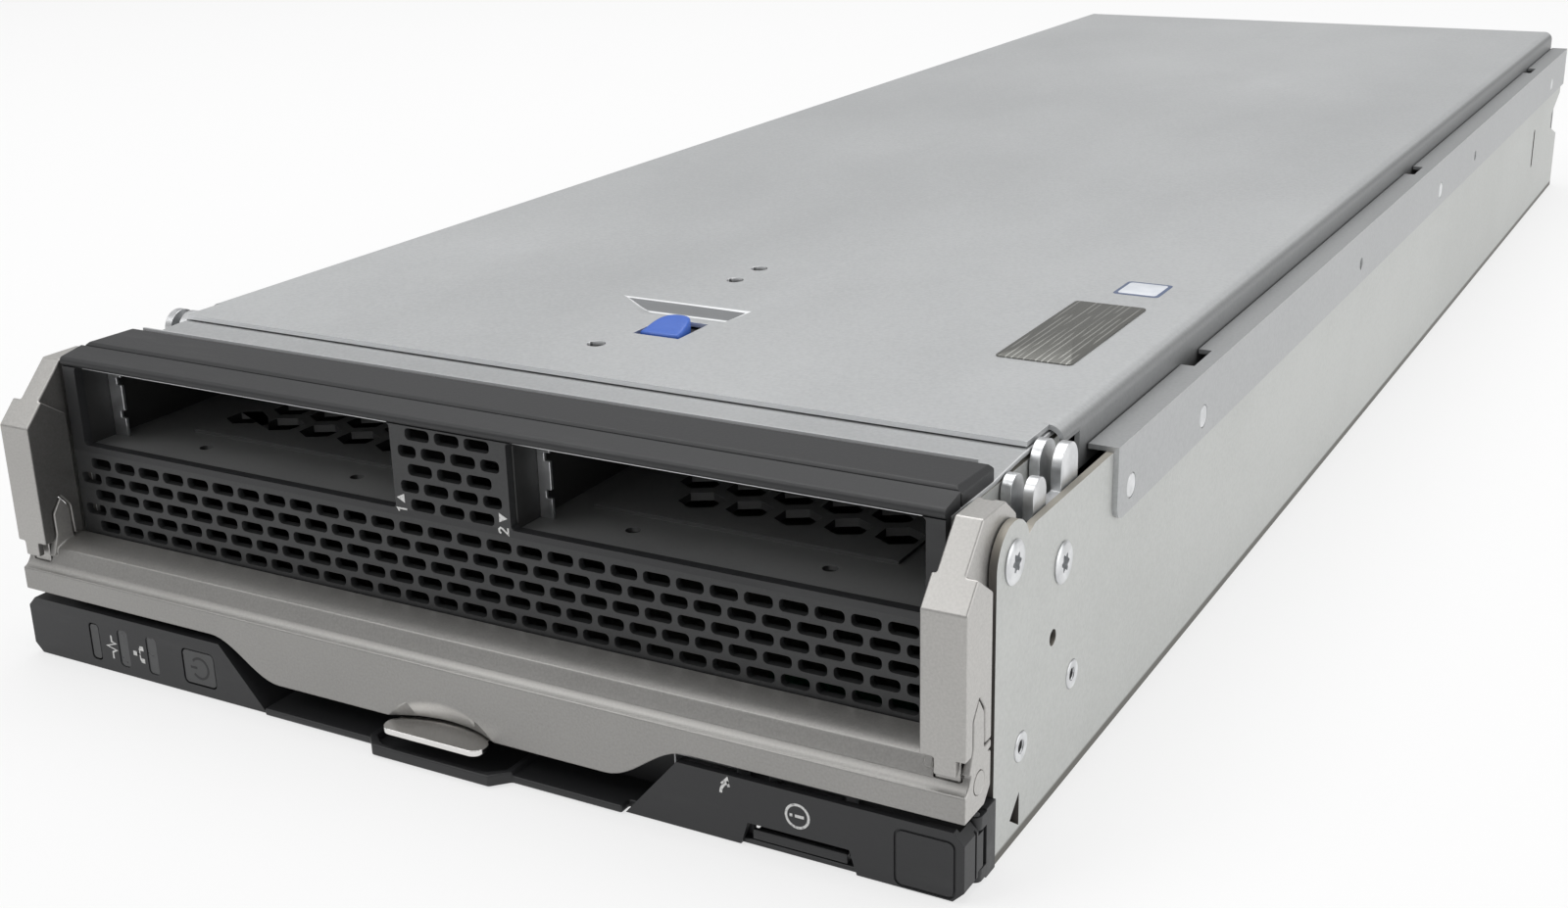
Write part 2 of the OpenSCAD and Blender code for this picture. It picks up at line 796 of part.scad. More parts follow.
module bar_end_outline() {
    polygon(concat(
        [[grip_front, bar_end_low]], shoulder(0),
        [[grip_front + 5, bar_top - 0.5], [arm_back, bar_top - 2], [arm_back, bar_end_low + 2.5],
         [arm_back - 2.5, bar_end_low]]
    ));
    tongue_outline(0);
}

foot_z = bar_top + 0.2;
foot_low = foot_z - 3;
tab_hinge = [grip_front + 6, 18];
tab_pin_r = 1;

module tab_lugs() {
    for (s = [-1, 1])
        difference() {
            along_x([tab_x + s * (tab_w / 2 + 2) - 1, tab_x + s * (tab_w / 2 + 2) + 1]) {
                translate([grip_front + cast_t - 0.2, tab_hinge[1] - 2])
                    square([tab_hinge[0] - grip_front - cast_t + 0.2, 4]);
                translate(tab_hinge) circle(r = 2);
            }
            bar_x(tab_pin_r + fit_gap, [tab_x - tab_w, tab_x + tab_w], tab_hinge[0], tab_hinge[1]);
        }
}

// A round bar that slants into the handle's front; the thumb scoop is its dent, grown by wall
module scoop(wall) {
    slant = atan(scoop_d / scoop_h);
    translate([tab_x, grip_front, bar_low + scoop_h]) rotate([180 + slant, 0, 0])
        translate([0, scoop_r, -20]) cylinder(r = scoop_r + wall, h = 50);
}

module handle_bar() {
    color("silver") place() difference() {
        union() {
            intersection() {
                along_x([-arm_out, arm_out]) bar_profile();
                along_y([grip_front - 1, arm_back + 1]) bar_front_outline();
            }
            pair() for (x = [arm_in, arm_out - cast_t])
                along_x([x, x + cast_t]) bar_end_outline();
            tab_lugs();
            intersection() {
                scoop(1);
                block([tab_x - tab_w / 2 - 3, tab_x + tab_w / 2 + 3],
                      [grip_front + 0.2, grip_front + scoop_d + 1.4], [bar_low, bar_low + scoop_h + 2]);
            }
        }
        pair() block([arm_in + cast_t, arm_out - cast_t], [grip_front + cast_t + 0.4, arm_back + 1],
                     [bar_end_low + 1, bar_top + 1]);
        pair() bar_x(2 + fit_gap, [arm_in - 1, arm_out + 1], tang_pin[0], tang_pin[1]);
        scoop(0);
        pair() block([arm_in + 2, arm_out - 1.4], [grip_front - 1, grip_front + cast_t + 0.9],
                     [foot_low - 0.4, bar_top + 1]);
    }
}

shoulder_z = case_h - 12.7;

// Side outline of the arm's wide lower part
module arm_outline() {
    polygon([
        [grip_front, foot_z], [grip_front, shoulder_z], [grip_front + 4.3, shoulder_z + 4.5],
        [arm_back, shoulder_z + 0.3], [arm_back, foot_z]
    ]);
}

// Side outline of the narrow neck that runs back to the pivot
module neck_outline() {
    top = case_h - 1.1;
    polygon([
        [grip_front + 3, shoulder_z - 2], [grip_front + 4.3, shoulder_z + 4.5],
        [grip_front + 11.2, top], [pivot_y + 0.4, top], [pivot_y + 4.8, top - 3.4],
        [pivot_y + 6.4, pivot_z], [pivot_y, pivot_z - 6.6], [arm_back, shoulder_z - 5]
    ]);
    translate([pivot_y, pivot_z]) circle(r = 6.8);
    translate([crank_y, crank_z]) circle(r = 3.3);
}

module handle_arm() {
    difference() {
        union() {
            difference() {
                along_x([arm_in, arm_out]) arm_outline();
                block([arm_in + cast_t, arm_out - cast_t], [grip_front + cast_t, arm_back + 1],
                      [foot_z + cast_t, shoulder_z - 2]);
                for (x = [arm_in - 1, arm_out - cast_t - 0.1])
                    along_x([x, x + cast_t + 1.1]) tongue_outline(0.35);
            }
            along_x([neck_in, neck_out]) neck_outline();
            block([arm_in + 2.4, arm_out - 1.8], [grip_front, grip_front + cast_t], [foot_low, foot_z]);
            along_x([arm_in + cast_t + 0.2, arm_out - cast_t - 0.2]) polygon([
                [grip_front + cast_t + 0.6, foot_z + 1], [grip_front + cast_t + 0.6, 17],
                [arm_back - 1, 17], [arm_back - 1, foot_z + 1]
            ]);
        }
        bar_x(pivot_r + fit_gap, [arm_in - 1, arm_out + 1], pivot_y, pivot_z);
        bar_x(crank_pin_r + fit_gap, [arm_in - 1, arm_out + 1], crank_y, crank_z);
        bar_x(2 + fit_gap, [arm_in - 1, arm_out + 1], tang_pin[0], tang_pin[1]);
        block([link_in - run_gap, link_in + link_t + run_gap], [crank_y - 3.2, pivot_y + 20],
              [crank_z - 6, case_h]);
    }
}

module handle_arm_left() {
    color("silver") place() mirror([1, 0, 0]) handle_arm();
}

module handle_arm_right() {
    color("silver") place() handle_arm();
}

// Pins that join the arms to the bar and the links to the arms, and the pin of the thumb tab
module handle_pins() {
    end = tab_w / 2 + 3;
    color("white") place() {
        pair() {
            bar_x(2, [arm_in, arm_out], tang_pin[0], tang_pin[1]);
            bar_x(crank_pin_r, [neck_in, neck_out], crank_y, crank_z);
        }
        bar_x(tab_pin_r, [tab_x - end, tab_x + end], tab_hinge[0], tab_hinge[1]);
    }
}

// The chrome thumb tab: a lip under the bar on a hinged riser
module thumb_tab() {
    lip = [bar_low - run_gap - 1.2, bar_low - run_gap];
    riser = [tab_hinge[0] - 0.7, tab_hinge[0] + 0.7];
    half = tab_w / 2;
    color("white") place() difference() {
        union() {
            translate([tab_x, 0, lip[0]]) linear_extrude(lip[1] - lip[0]) {
                translate([-half + 1, grip_front]) square([tab_w - 2, riser[1] - grip_front]);
                translate([0, (front_y + 0.2 + grip_front + 1) / 2])
                    round_rect(tab_w, grip_front + 0.8 - front_y, 2.3);
            }
            block([tab_x - half + 1, tab_x + half - 1], riser, [lip[1] - 0.1, tab_hinge[1]]);
            bar_x(2, [tab_x - half + 0.5, tab_x + half - 0.5], tab_hinge[0], tab_hinge[1]);
        }
        bar_x(tab_pin_r + fit_gap, [tab_x - tab_w, tab_x + tab_w], tab_hinge[0], tab_hinge[1]);
    }
}

/* Ejector forks and links */

// Side outline of a fork plate: two round teeth above the hub and a crank below it
module fork_outline() {
    y = fork_y;
    z = fork_z;
    difference() {
        union() {
            polygon([
                [y - 6.5, z + 2], [y - 9.9, z + 11], [y - 9.9, z + 14.6], [y - 4.1, z + 14.6],
                [y + 2.7, z + 15.3], [y + 10.7, z + 15.3], [y + 10.7, z + 10], [y + 6.2, z]
            ]);
            translate([y - 7, z + 14.6]) circle(r = 2.9);
            translate([y + 6.7, z + 15.3]) circle(r = 4);
            translate([y, z]) circle(r = 6.6);
            round_arm([y, z], [lobe_y, lobe_z], 3.2);
        }
        translate([y - 4.1, z + 11.6]) square([6.8, 12]);
    }
}

module ejector() {
    difference() {
        union() {
            for (x = [fork_in, fork_out - fork_t]) along_x([x, x + fork_t]) fork_outline();
            bar_x(4.2, [fork_in, fork_out], fork_y, fork_z);
            bar_x(crank_pin_r, [fork_in, fork_out], lobe_y, lobe_z);
        }
        bar_x(pivot_r + fit_gap, [fork_in - 1, fork_out + 1], fork_y, fork_z);
    }
}

module ejector_left() {
    color("white") place() mirror([1, 0, 0]) ejector();
}

module ejector_right() {
    color("white") place() ejector();
}

module drive_link() {
    difference() {
        along_x([link_in, link_in + link_t]) {
            round_arm([crank_y, crank_z], [lobe_y, lobe_z], 2.2);
            translate([lobe_y, lobe_z]) circle(r = 3.3);
        }
        bar_x(crank_pin_r + fit_gap, [link_in - 1, link_in + link_t + 1], crank_y, crank_z);
        bar_x(crank_pin_r + link_slack, [link_in - 1, link_in + link_t + 1], lobe_y, lobe_z);
    }
}

module drive_link_left() {
    color("gainsboro") place() mirror([1, 0, 0]) drive_link();
}

module drive_link_right() {
    color("gainsboro") place() drive_link();
}

/* Cover */

cover_r = 3;
button_x = [4.7 - button_w / 2, 4.7 + button_w / 2];
button_y = [57.8, 57.8 + button_l];
button_gap = 0.8;
hood_l = 7.5;
shoulder_low = case_h - cover_r + 0.5;
plate_out = cover_out - cover_r;
cover_holes = [[-3.3, 47.2], [-3.4, 103.4], [-3.6, 114.9]];

// Everything above a wall that curves down from a rim line; in lies towards turn from the point at
module dip_side(at, turn, run) {
    translate([at[0], at[1], 0]) rotate([90, 0, turn]) translate([0, 0, -40]) linear_extrude(80)
        polygon(concat(
            [[-0.2, case_h + 1]],
            [for (i = [0 : 8]) [run * i / 8, case_h - dip_depth * (1 - cos(22.5 * i)) / 2]],
            [[60, case_h - dip_depth], [60, case_h + 1]]
        ));
}

// The hollow of the finger dip: steep at the back and the left, and shallow towards the button
module finger_dip() {
    back = button_y[1] + 13.6;
    intersection() {
        dip_side([0, back], -90, 4.6);
        dip_side([0, button_y[1] + 2.2], 90, 7);
        dip_side([button_x[0] - 18.3, back - 1.4], 46, 4.2);
        dip_side([button_x[1] + 3.8, back - 6], 176, 4.2);
    }
}

module access_cover() {
    hole_r = 1.95;
    color("silver") place() difference() {
        union() {
            block([-plate_out, plate_out], [cover_front, cover_back], [cover_under, case_h]);
            intersection() {
                translate([0, 0, -cover_t]) finger_dip();
                block([-bay_out, bay_out], [cover_front, cover_back],
                      [cover_under - dip_depth, cover_under + 0.1]);
            }
        }
        finger_dip();
        block([button_x[0] - button_gap, button_x[1] + button_gap],
              [button_y[0] - button_gap, button_y[1] + button_gap], [cover_under - 1, case_h + 1]);
        for (p = cover_holes)
            translate([p[0], p[1], cover_under - 1]) cylinder(r = hole_r, h = cover_t + 2);
    }
}

// The rounded shoulders that turn the cover's top down into its flanges
module cover_shoulders() {
    color("silver") place() pair() along_y([flange_front - hood_l, cover_back]) intersection() {
        translate([plate_out, case_h - cover_r]) difference() {
            circle(r = cover_r);
            circle(r = cover_r - cover_t);
        }
        translate([plate_out, shoulder_low]) square([cover_r, cover_r]);
    }
}

// The upright flanges along the sides of the cover
module cover_flanges() {
    color("silver") place() pair()
        block([cover_out - cover_t, cover_out], [flange_front, cover_back], [wall_top - 3, shoulder_low]);
}

// The hooks that hold the cover down under the rails
module cover_hooks() {
    color("silver") place() pair() for (y = hook_spots)
        block([cover_out, cover_out + 2.6], [y, y + hook_l], [wall_top - 2, wall_top - 0.4]);
}

module cover_button() {
    rise = 1.9;
    rim = 1.5;
    color("royalblue") place() {
        along_x(button_x) polygon([
            [button_y[0], cover_under - 1.6], [button_y[0], case_h + 0.4],
            [button_y[1] - 2.4, case_h + rise], [button_y[1], case_h + rise - 0.5],
            [button_y[1], cover_under - 1.6]
        ]);
        block([button_x[0] - rim, button_x[1] + rim], [button_y[0] - rim, button_y[1] + rim],
              [cover_under - 1.5, cover_under - run_gap]);
        block([button_x[0] + 2.4, button_x[1] - 2.4], [button_y[0] + 3, button_y[0] + 8],
              [cover_under - button_travel - 3.6, cover_under - 1.5]);
    }
}

// The keeper plate under the latch button; its slot leaves room for the cover's slide
module latch_keeper() {
    z = [cover_under - button_travel - 3.2, cover_under - button_travel - 2.2];
    color("gainsboro") place() difference() {
        block([-bay_in + cage_t, bay_in - cage_t], [button_y[0] - 8, button_y[1] + cover_slide + 6], z);
        block([button_x[0] + 1.6, button_x[1] - 1.6],
              [button_y[0] + 1, button_y[0] + 10 + cover_slide], [z[0] - 1, z[1] + 1]);
    }
}

/* Drive cage */

hex_r = 4.4;
hex_pitch = 10.2;

// A field of hexagonal openings in a bay's floor
module hex_field() {
    nx = floor((bay_out - bay_in - 22) / hex_pitch);
    ny = floor((cage_d - 34) / (hex_pitch * 0.87));
    for (i = [0 : nx - 1], j = [0 : ny - 1])
        translate([bay_mid + (i - (nx - 1) / 2 + (j % 2 == 0 ? 0.25 : -0.25)) * hex_pitch,
                   22 + j * hex_pitch * 0.87])
            rotate(30) circle(r = hex_r, $fn = 6);
}

// The outer walls of the drive cage, and the two walls and the back between its bays
module drive_cage() {
    color("silver") place() {
        pair() block([cage_in, pocket_in], [tray_front, cage_d], [floor_t, deck_low - deck_t]);
        difference() {
            pair() block([bay_in - cage_t, bay_in], [tray_front, cage_d], [cage_floor, deck_low - deck_t]);
            pair() block([bay_in - 2, bay_in + 1], [20, 24], [cage_floor + 9, deck_low]);
        }
        block([-bay_in + cage_t + fit_gap, bay_in - cage_t - fit_gap], [cage_d - cage_t, cage_d],
              [cage_floor, deck_low - deck_t]);
    }
}

// The shelf of each bay: a pressed step with a field of six-sided vents
module cage_shelves() {
    step = 0.6;
    color("silver") place() pair() difference() {
        union() {
            block([bay_in - cage_t, cage_in], [tray_front, cage_d], [cage_floor - cage_t, cage_floor]);
            block([bay_in + 6, cage_in - 14], [11.5, cage_d - 8], [cage_floor - 0.1, cage_floor + step]);
        }
        translate([0, 0, cage_floor - 3]) linear_extrude(6) hex_field();
        for (x = [bay_mid - 22, bay_mid + 18])
            translate([x, 5, cage_floor - 3]) cylinder(r = 1.4, h = 6);
    }
}

// Notched strips at the left of each bay, which the drive carriers' latches catch
module bay_strips() {
    z = [cage_floor, deck_low - deck_t];
    color("white") place() for (x = [[-cage_in, 2.7 - bay_out], [bay_in, bay_in + 2.8]]) difference() {
        block(x, [3, 3.8], z);
        for (h = [z[0] + 4, z[1] - 5]) block([x[1] - 1.2, x[1] + 1], [2, 5], [h, h + 1.6]);
    }
}

module drive_backplane() {
    color("darkgreen") place() difference() {
        block([-cage_in, cage_in], [cage_d, cage_d + pcb_t], [board_top + 1, deck_low - deck_t - 0.5]);
        for (x = [-60, -30, 0, 30, 60], z = [24, 34])
            translate([x, 0, z]) along_y([cage_d - 1, cage_d + pcb_t + 1]) round_rect(20, 6, 2.9);
    }
}

module drive_connectors() {
    color("dimgray") place() pair() difference() {
        block([bay_mid - 21, bay_mid + 21], [cage_d - 9, cage_d], [cage_floor + 3.4, cage_floor + 9.4]);
        block([bay_mid - 19.5, bay_mid + 19.5], [cage_d - 10, cage_d - 3],
              [cage_floor + 4.8, cage_floor + 7.8]);
    }
}

/* System board and what it carries */

spacer_x = board_out - 3.4;
spacer_y = [board_front + 8, bank_y[0] + socket_l + 9, bank_y[1] + socket_l + 12, board_back - 26];

module system_board() {
    color("darkgreen") place() difference() {
        block([-board_out, board_out], [board_front, board_back], [board_low, board_top]);
        for (s = [-1, 1], y = spacer_y)
            translate([s * spacer_x, y, board_low - 1]) cylinder(r = 1.6, h = pcb_t + 2);
    }
}

// Threaded spacers under the board, and the screws that hold it down on them
module board_fixings() {
    color("white") place() for (s = [-1, 1], y = spacer_y) {
        translate([s * spacer_x, y, floor_t]) difference() {
            cylinder(r = 3, h = spacer_h, $fn = 6);
            translate([0, 0, 1]) cylinder(r = 1.5, h = spacer_h);
        }
        translate([s * spacer_x, y, board_top]) {
            cylinder(r = 2.9, h = 1.6);
            translate([0, 0, -pcb_t - 3]) cylinder(r = 1.45, h = pcb_t + 3);
        }
    }
}

// The connector to the drive backplane, and the two that carry the mezzanine card
module board_connectors() {
    color("dimgray") place() {
        block([-45, 45], [cage_d + pcb_t, board_front + 7], [board_top, board_top + 9]);
        for (s = [-1, 1])
            block([s * mezz_out * 0.58 - 18, s * mezz_out * 0.58 + 18],
                  [mezz_y + mezz_l * 0.79, mezz_y + mezz_l * 0.91], [board_top, mezz_low]);
    }
}

module processor_sockets() {
    color("dimgray") place() for (y = bank_y) translate([0, y + socket_l / 2, board_top]) difference() {
        translate([-35, -45, 0]) cube([70, 90, socket_z]);
        translate([-28, -38, 1.5]) cube([56, 76, socket_z]);
    }
}

module processors() {
    color("silver") place() for (y = bank_y) translate([0, y + socket_l / 2, board_top]) {
        translate([-27.5, -37.5, 1.5]) cube([55, 75, socket_z - 1.5]);
        translate([-24, -34, socket_z - 0.1]) cube([48, 68, processor_t + 0.1]);
    }
}

// A finned heat sink over a processor
module heatsink(y) {
    fins = 20;
    fin_t = 1.2;
    step = (sink_w - fin_t) / (fins - 1);
    translate([-sink_w / 2, y + (socket_l - sink_l) / 2, sink_low]) {
        cube([sink_w, sink_l, sink_base]);
        for (i = [0 : fins - 1])
            translate([i * step, 0, sink_base - 0.1]) cube([fin_t, sink_l, sink_h - sink_base + 0.1]);
    }
}

module heatsinks() {
    color("silver") place() for (y = bank_y) heatsink(y);
}

module memory_places() {
    for (s = [-1, 1], y = bank_y, i = [0 : memory_n])
        translate([s * (memory_x + i * memory_pitch), y, board_top]) children();
}

module memory_sockets() {
    color("dimgray") place() memory_places() difference() {
        union() {
            translate([-3.2, 0, 0]) cube([6.4, socket_l, 8]);
            for (y = [0, socket_l - 4]) translate([-2.4, y, 7.9]) cube([4.8, 4, 10]);
        }
        translate([-0.8, 3.8, 2]) cube([1.6, socket_l - 7.6, 20]);
    }
}

module memory_modules() {
    color("seagreen") place() memory_places() {
        translate([-0.65, 4.2, 2]) cube([1.3, socket_l - 8.4, module_h]);
        translate([-1.5, 12, 12]) cube([3, socket_l - 24, module_h - 13]);
    }
}

// Ducts over the memory banks that keep the air on them and on the heat sinks
module air_baffles() {
    x = [sink_w / 2 + 1.2, board_out - 0.4];
    top = board_top + module_h + 4;
    color("dimgray") place() pair() {
        block(x, [bank_y[0], bank_y[1] + socket_l], [top, top + 1.2]);
        block([x[0], x[0] + 1.2], [bank_y[0], bank_y[1] + socket_l], [board_top, top + 0.1]);
        block([x[1] - 1.2, x[1]], [bank_y[0], bank_y[1] + socket_l], [board_top + 2, top + 0.1]);
    }
}

// The input and output card over the rear of the board, with a finned chip
module mezzanine_card() {
    chip_w = mezz_l * 0.475;
    color("darkgreen") place() {
        block([-mezz_out, mezz_out], [mezz_y, mezz_y + mezz_l], [mezz_low, mezz_low + pcb_t]);
        translate([-chip_w / 2, mezz_y + mezz_l * 0.26, mezz_low + pcb_t - 0.1]) {
            cube([chip_w, chip_w, 4.1]);
            for (i = [0 : 9]) translate([i * (chip_w - 1.4) / 9, 0, 4]) cube([1.4, chip_w, 12]);
        }
    }
}

signal_x = [-board_out * 0.6, -board_out * 0.08];
signal_w = 42;
signal_h = 15;
power_x = board_out * 0.57;
power_w = 50;
power_h = 18;

// Blind-mate connectors at the rear edge: two for signals and one for power
module rear_connectors() {
    color("dimgray") place() {
        for (x = signal_x) difference() {
            block([x - signal_w / 2, x + signal_w / 2], [rear_y, case_d - 1],
                  [board_top, board_top + signal_h]);
            for (i = [0 : 11])
                translate([x - signal_w / 2 + 2 + i * 3.3, case_d - 8, board_top + 2])
                    cube([1.8, 8, signal_h - 4]);
        }
        difference() {
            block([power_x - power_w / 2, power_x + power_w / 2], [rear_y, case_d - 1],
                  [board_top, board_top + power_h]);
            for (i = [0 : 5])
                translate([power_x - power_w / 2 + 3 + i * 7.8, case_d - 10, board_top + 2])
                    cube([4.8, 10, power_h - 4]);
        }
    }
}

guide_r = 4;
guide_x = [-wall_in + 11.9, wall_in - 8.9];
guide_z = board_top + 8;

// Sockets at the rear corners that take the enclosure's guide pins
module guide_sockets() {
    color("gainsboro") place() for (x = guide_x) difference() {
        union() {
            bar_y(6.4, x, [rear_y + 2, case_d - 0.6], guide_z);
            block([x - 6.4, x + 6.4], [rear_y + 2, case_d - 8], [board_top, guide_z]);
        }
        bar_y(guide_r, x, [rear_y + 6, case_d], guide_z);
    }
}

// The opening in the rear wall around a connector
module connector_window(x, w, h, y) {
    block([x - w / 2 - run_gap, x + w / 2 + run_gap], [y[0] - 1, y[1] + 1],
          [board_top - run_gap, board_top + h + run_gap]);
}

module rear_wall() {
    slot_step = board_out / 7.4;
    y = [board_back + 0.3, board_back + 1.5];
    lid = cover_out - cover_t - 0.6;
    color("silver") place() difference() {
        union() {
            block([-wall_in, wall_in], y, [floor_t, wall_top - 3.4]);
            along_y(y) polygon([
                [-lid, wall_top - 3.5], [lid, wall_top - 3.5], [lid, cover_under - cover_r],
                [lid - cover_r, cover_under - run_gap], [cover_r - lid, cover_under - run_gap],
                [-lid, cover_under - cover_r]
            ]);
        }
        for (x = signal_x) connector_window(x, signal_w, signal_h, y);
        connector_window(power_x, power_w, power_h, y);
        for (x = guide_x) bar_y(6.6, x, [y[0] - 1, y[1] + 1], guide_z);
        for (i = [-6 : 6])
            along_y([y[0] - 1, y[1] + 1]) translate([i * slot_step, wall_top - 16]) round_rect(9, 12, 3);
    }
}

base_tray();
side_wall_left();
side_wall_right();
rail_left();
rail_right();
rear_wall();
front_deck();
top_trim();
bezel();
vent_grille();
divider_grille();
lower_beam();
lower_lip();
control_panel();
port_door();
info_tab();
power_button();
locator_button();
light_pipes();
control_board();
port_board();
port_shells();
handle_bar();
handle_arm_left();
handle_arm_right();
handle_pins();
thumb_tab();
ejector_left();
ejector_right();
drive_link_left();
drive_link_right();
pivot_screws();
pocket_plates();
press_nuts();
rail_rivets();
door_pin();
access_cover();
cover_shoulders();
cover_flanges();
cover_hooks();
cover_button();
latch_keeper();
drive_cage();
cage_shelves();
bay_strips();
drive_backplane();
drive_connectors();
system_board();
board_fixings();
board_connectors();
processor_sockets();
processors();
heatsinks();
memory_sockets();
memory_modules();
air_baffles();
mezzanine_card();
rear_connectors();
guide_sockets();
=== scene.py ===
"""Looks of a blade server with a swing-out handle, lying on a plain pale floor.

Sizes are in metres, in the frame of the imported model: X to the right, Y to the back, Z up.
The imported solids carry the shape. This script gives them soft edges and finishes, and adds
the pieces that are too fine for solids: screw recesses, pressed marks, plates and icons.
"""
import json
import math

import bmesh
import bpy
import numpy as np
from mathutils import Matrix, Vector


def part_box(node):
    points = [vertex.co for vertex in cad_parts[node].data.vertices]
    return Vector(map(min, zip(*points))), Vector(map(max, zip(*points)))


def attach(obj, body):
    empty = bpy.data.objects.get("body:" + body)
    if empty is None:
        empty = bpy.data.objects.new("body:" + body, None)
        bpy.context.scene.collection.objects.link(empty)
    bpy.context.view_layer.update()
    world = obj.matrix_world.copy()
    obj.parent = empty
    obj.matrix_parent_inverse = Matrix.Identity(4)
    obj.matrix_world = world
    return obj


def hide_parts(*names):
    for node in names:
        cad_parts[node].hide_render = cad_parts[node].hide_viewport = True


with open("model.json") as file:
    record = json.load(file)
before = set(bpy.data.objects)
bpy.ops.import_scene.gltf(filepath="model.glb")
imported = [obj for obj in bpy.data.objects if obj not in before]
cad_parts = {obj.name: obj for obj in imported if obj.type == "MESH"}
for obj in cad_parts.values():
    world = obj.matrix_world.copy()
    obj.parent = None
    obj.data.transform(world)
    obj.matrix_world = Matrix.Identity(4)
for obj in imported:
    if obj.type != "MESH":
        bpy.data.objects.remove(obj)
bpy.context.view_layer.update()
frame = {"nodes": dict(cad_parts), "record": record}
MM = 0.001


# ---------------------------------------------------------------- shader sums and finishes


class Field:
    """A shader socket as a number that varies over a surface; each operator adds a Math node."""

    def __init__(self, finish, socket):
        self.finish = finish
        self.socket = socket

    def maths(self, operation, *others):
        settings = {"operation": operation}
        values = {place: value for place, value in enumerate((self, *others))}
        return self.finish.add("ShaderNodeMath", settings, values)

    def __add__(self, other):
        return self.maths("ADD", other)

    def __sub__(self, other):
        return self.maths("SUBTRACT", other)

    def __rsub__(self, other):
        return (self * -1.0).maths("ADD", other)

    def __mul__(self, other):
        return self.maths("MULTIPLY", other)

    def __truediv__(self, other):
        return self.maths("DIVIDE", other)

    def __abs__(self):
        return self.maths("ABSOLUTE")

    def held(self):
        """The value kept between 0 and 1."""
        return self.maths("MAXIMUM", 0.0).maths("MINIMUM", 1.0)

    __radd__ = __add__
    __rmul__ = __mul__


class Finish:
    """One material: its nodes are added through add, and its shader's sockets are set by name."""

    def __init__(self, name, **constants):
        self.material = bpy.data.materials.new(name)
        self.material.use_nodes = True
        self.tree = self.material.node_tree
        self.shader = self.tree.nodes["Principled BSDF"]
        self.coordinates = None
        for words, value in constants.items():
            self.put(value, self.shader.inputs[words.replace("_", " ").title().replace("Ior", "IOR")])

    def put(self, value, socket):
        """Sets a socket to a number or colour, or links it to a field."""
        if isinstance(value, Field):
            self.tree.links.new(value.socket, socket)
        elif hasattr(value, "__len__") and len(value) == 3 and socket.type == "RGBA":
            socket.default_value = (*value, 1.0)
        else:
            socket.default_value = value

    def add(self, kind, settings=None, values=None, output=0):
        """Adds any node: its settings first, then its sockets' values by name or place."""
        node = self.tree.nodes.new(kind)
        for name, value in (settings or {}).items():
            setattr(node, name, value)
        for name, value in (values or {}).items():
            self.put(value, node.inputs[name])
        return Field(self, node.outputs[output])

    def place(self, stretch=(1.0, 1.0, 1.0)):
        """The point on the surface in metres, stretched along each axis."""
        if self.coordinates is None:
            self.coordinates = self.add("ShaderNodeTexCoord", output="Object")
        return self.add("ShaderNodeMapping", None, {"Vector": self.coordinates, "Scale": stretch})

    def axis(self, name):
        """One coordinate of the point on the surface, in metres."""
        return self.add("ShaderNodeSeparateXYZ", None, {"Vector": self.place()}, output=name)

    def facing(self, name):
        """How far the surface faces along an axis, from -1 to 1."""
        normal = self.add("ShaderNodeTexCoord", output="Normal")
        return self.add("ShaderNodeSeparateXYZ", None, {"Vector": normal}, output=name)

    def noise(self, scale, detail=2.0, stretch=(1.0, 1.0, 1.0), roughness=0.5):
        """Cloudy noise from 0 to 1 with about scale blotches a metre."""
        values = {"Vector": self.place(stretch), "Scale": scale, "Detail": detail,
                  "Roughness": roughness}
        return self.add("ShaderNodeTexNoise", None, values)

    def step(self, value, low, high):
        """0 below low, 1 above high, and a smooth change between them."""
        settings = {"interpolation_type": "SMOOTHSTEP"}
        return self.add("ShaderNodeMapRange", settings, {0: value, 1: low, 2: high})

    def blend(self, share, first, second):
        """The first colour where share is 0, and the second where it is 1."""
        settings = {"data_type": "RGBA"}
        return self.add("ShaderNodeMix", settings, {0: share, 6: first, 7: second}, output=2)

    def dull(self, colour, where, share):
        """The colour times share where where is 1, and as it is where where is 0."""
        left = 1.0 - where * (1.0 - share)
        factor = self.add("ShaderNodeCombineColor", None, dict.fromkeys(range(3), left))
        settings = {"data_type": "RGBA", "blend_type": "MULTIPLY"}
        return self.add("ShaderNodeMix", settings, {0: 1.0, 6: colour, 7: factor}, output=2)

    def emboss(self, height, depth, strength=1.0):
        """Bumps the surface by a height field whose full range is depth metres."""
        values = {"Height": height, "Distance": depth, "Strength": strength}
        self["Normal"] = self.add("ShaderNodeBump", None, values)

    def __setitem__(self, name, value):
        self.put(value, self.shader.inputs[name])


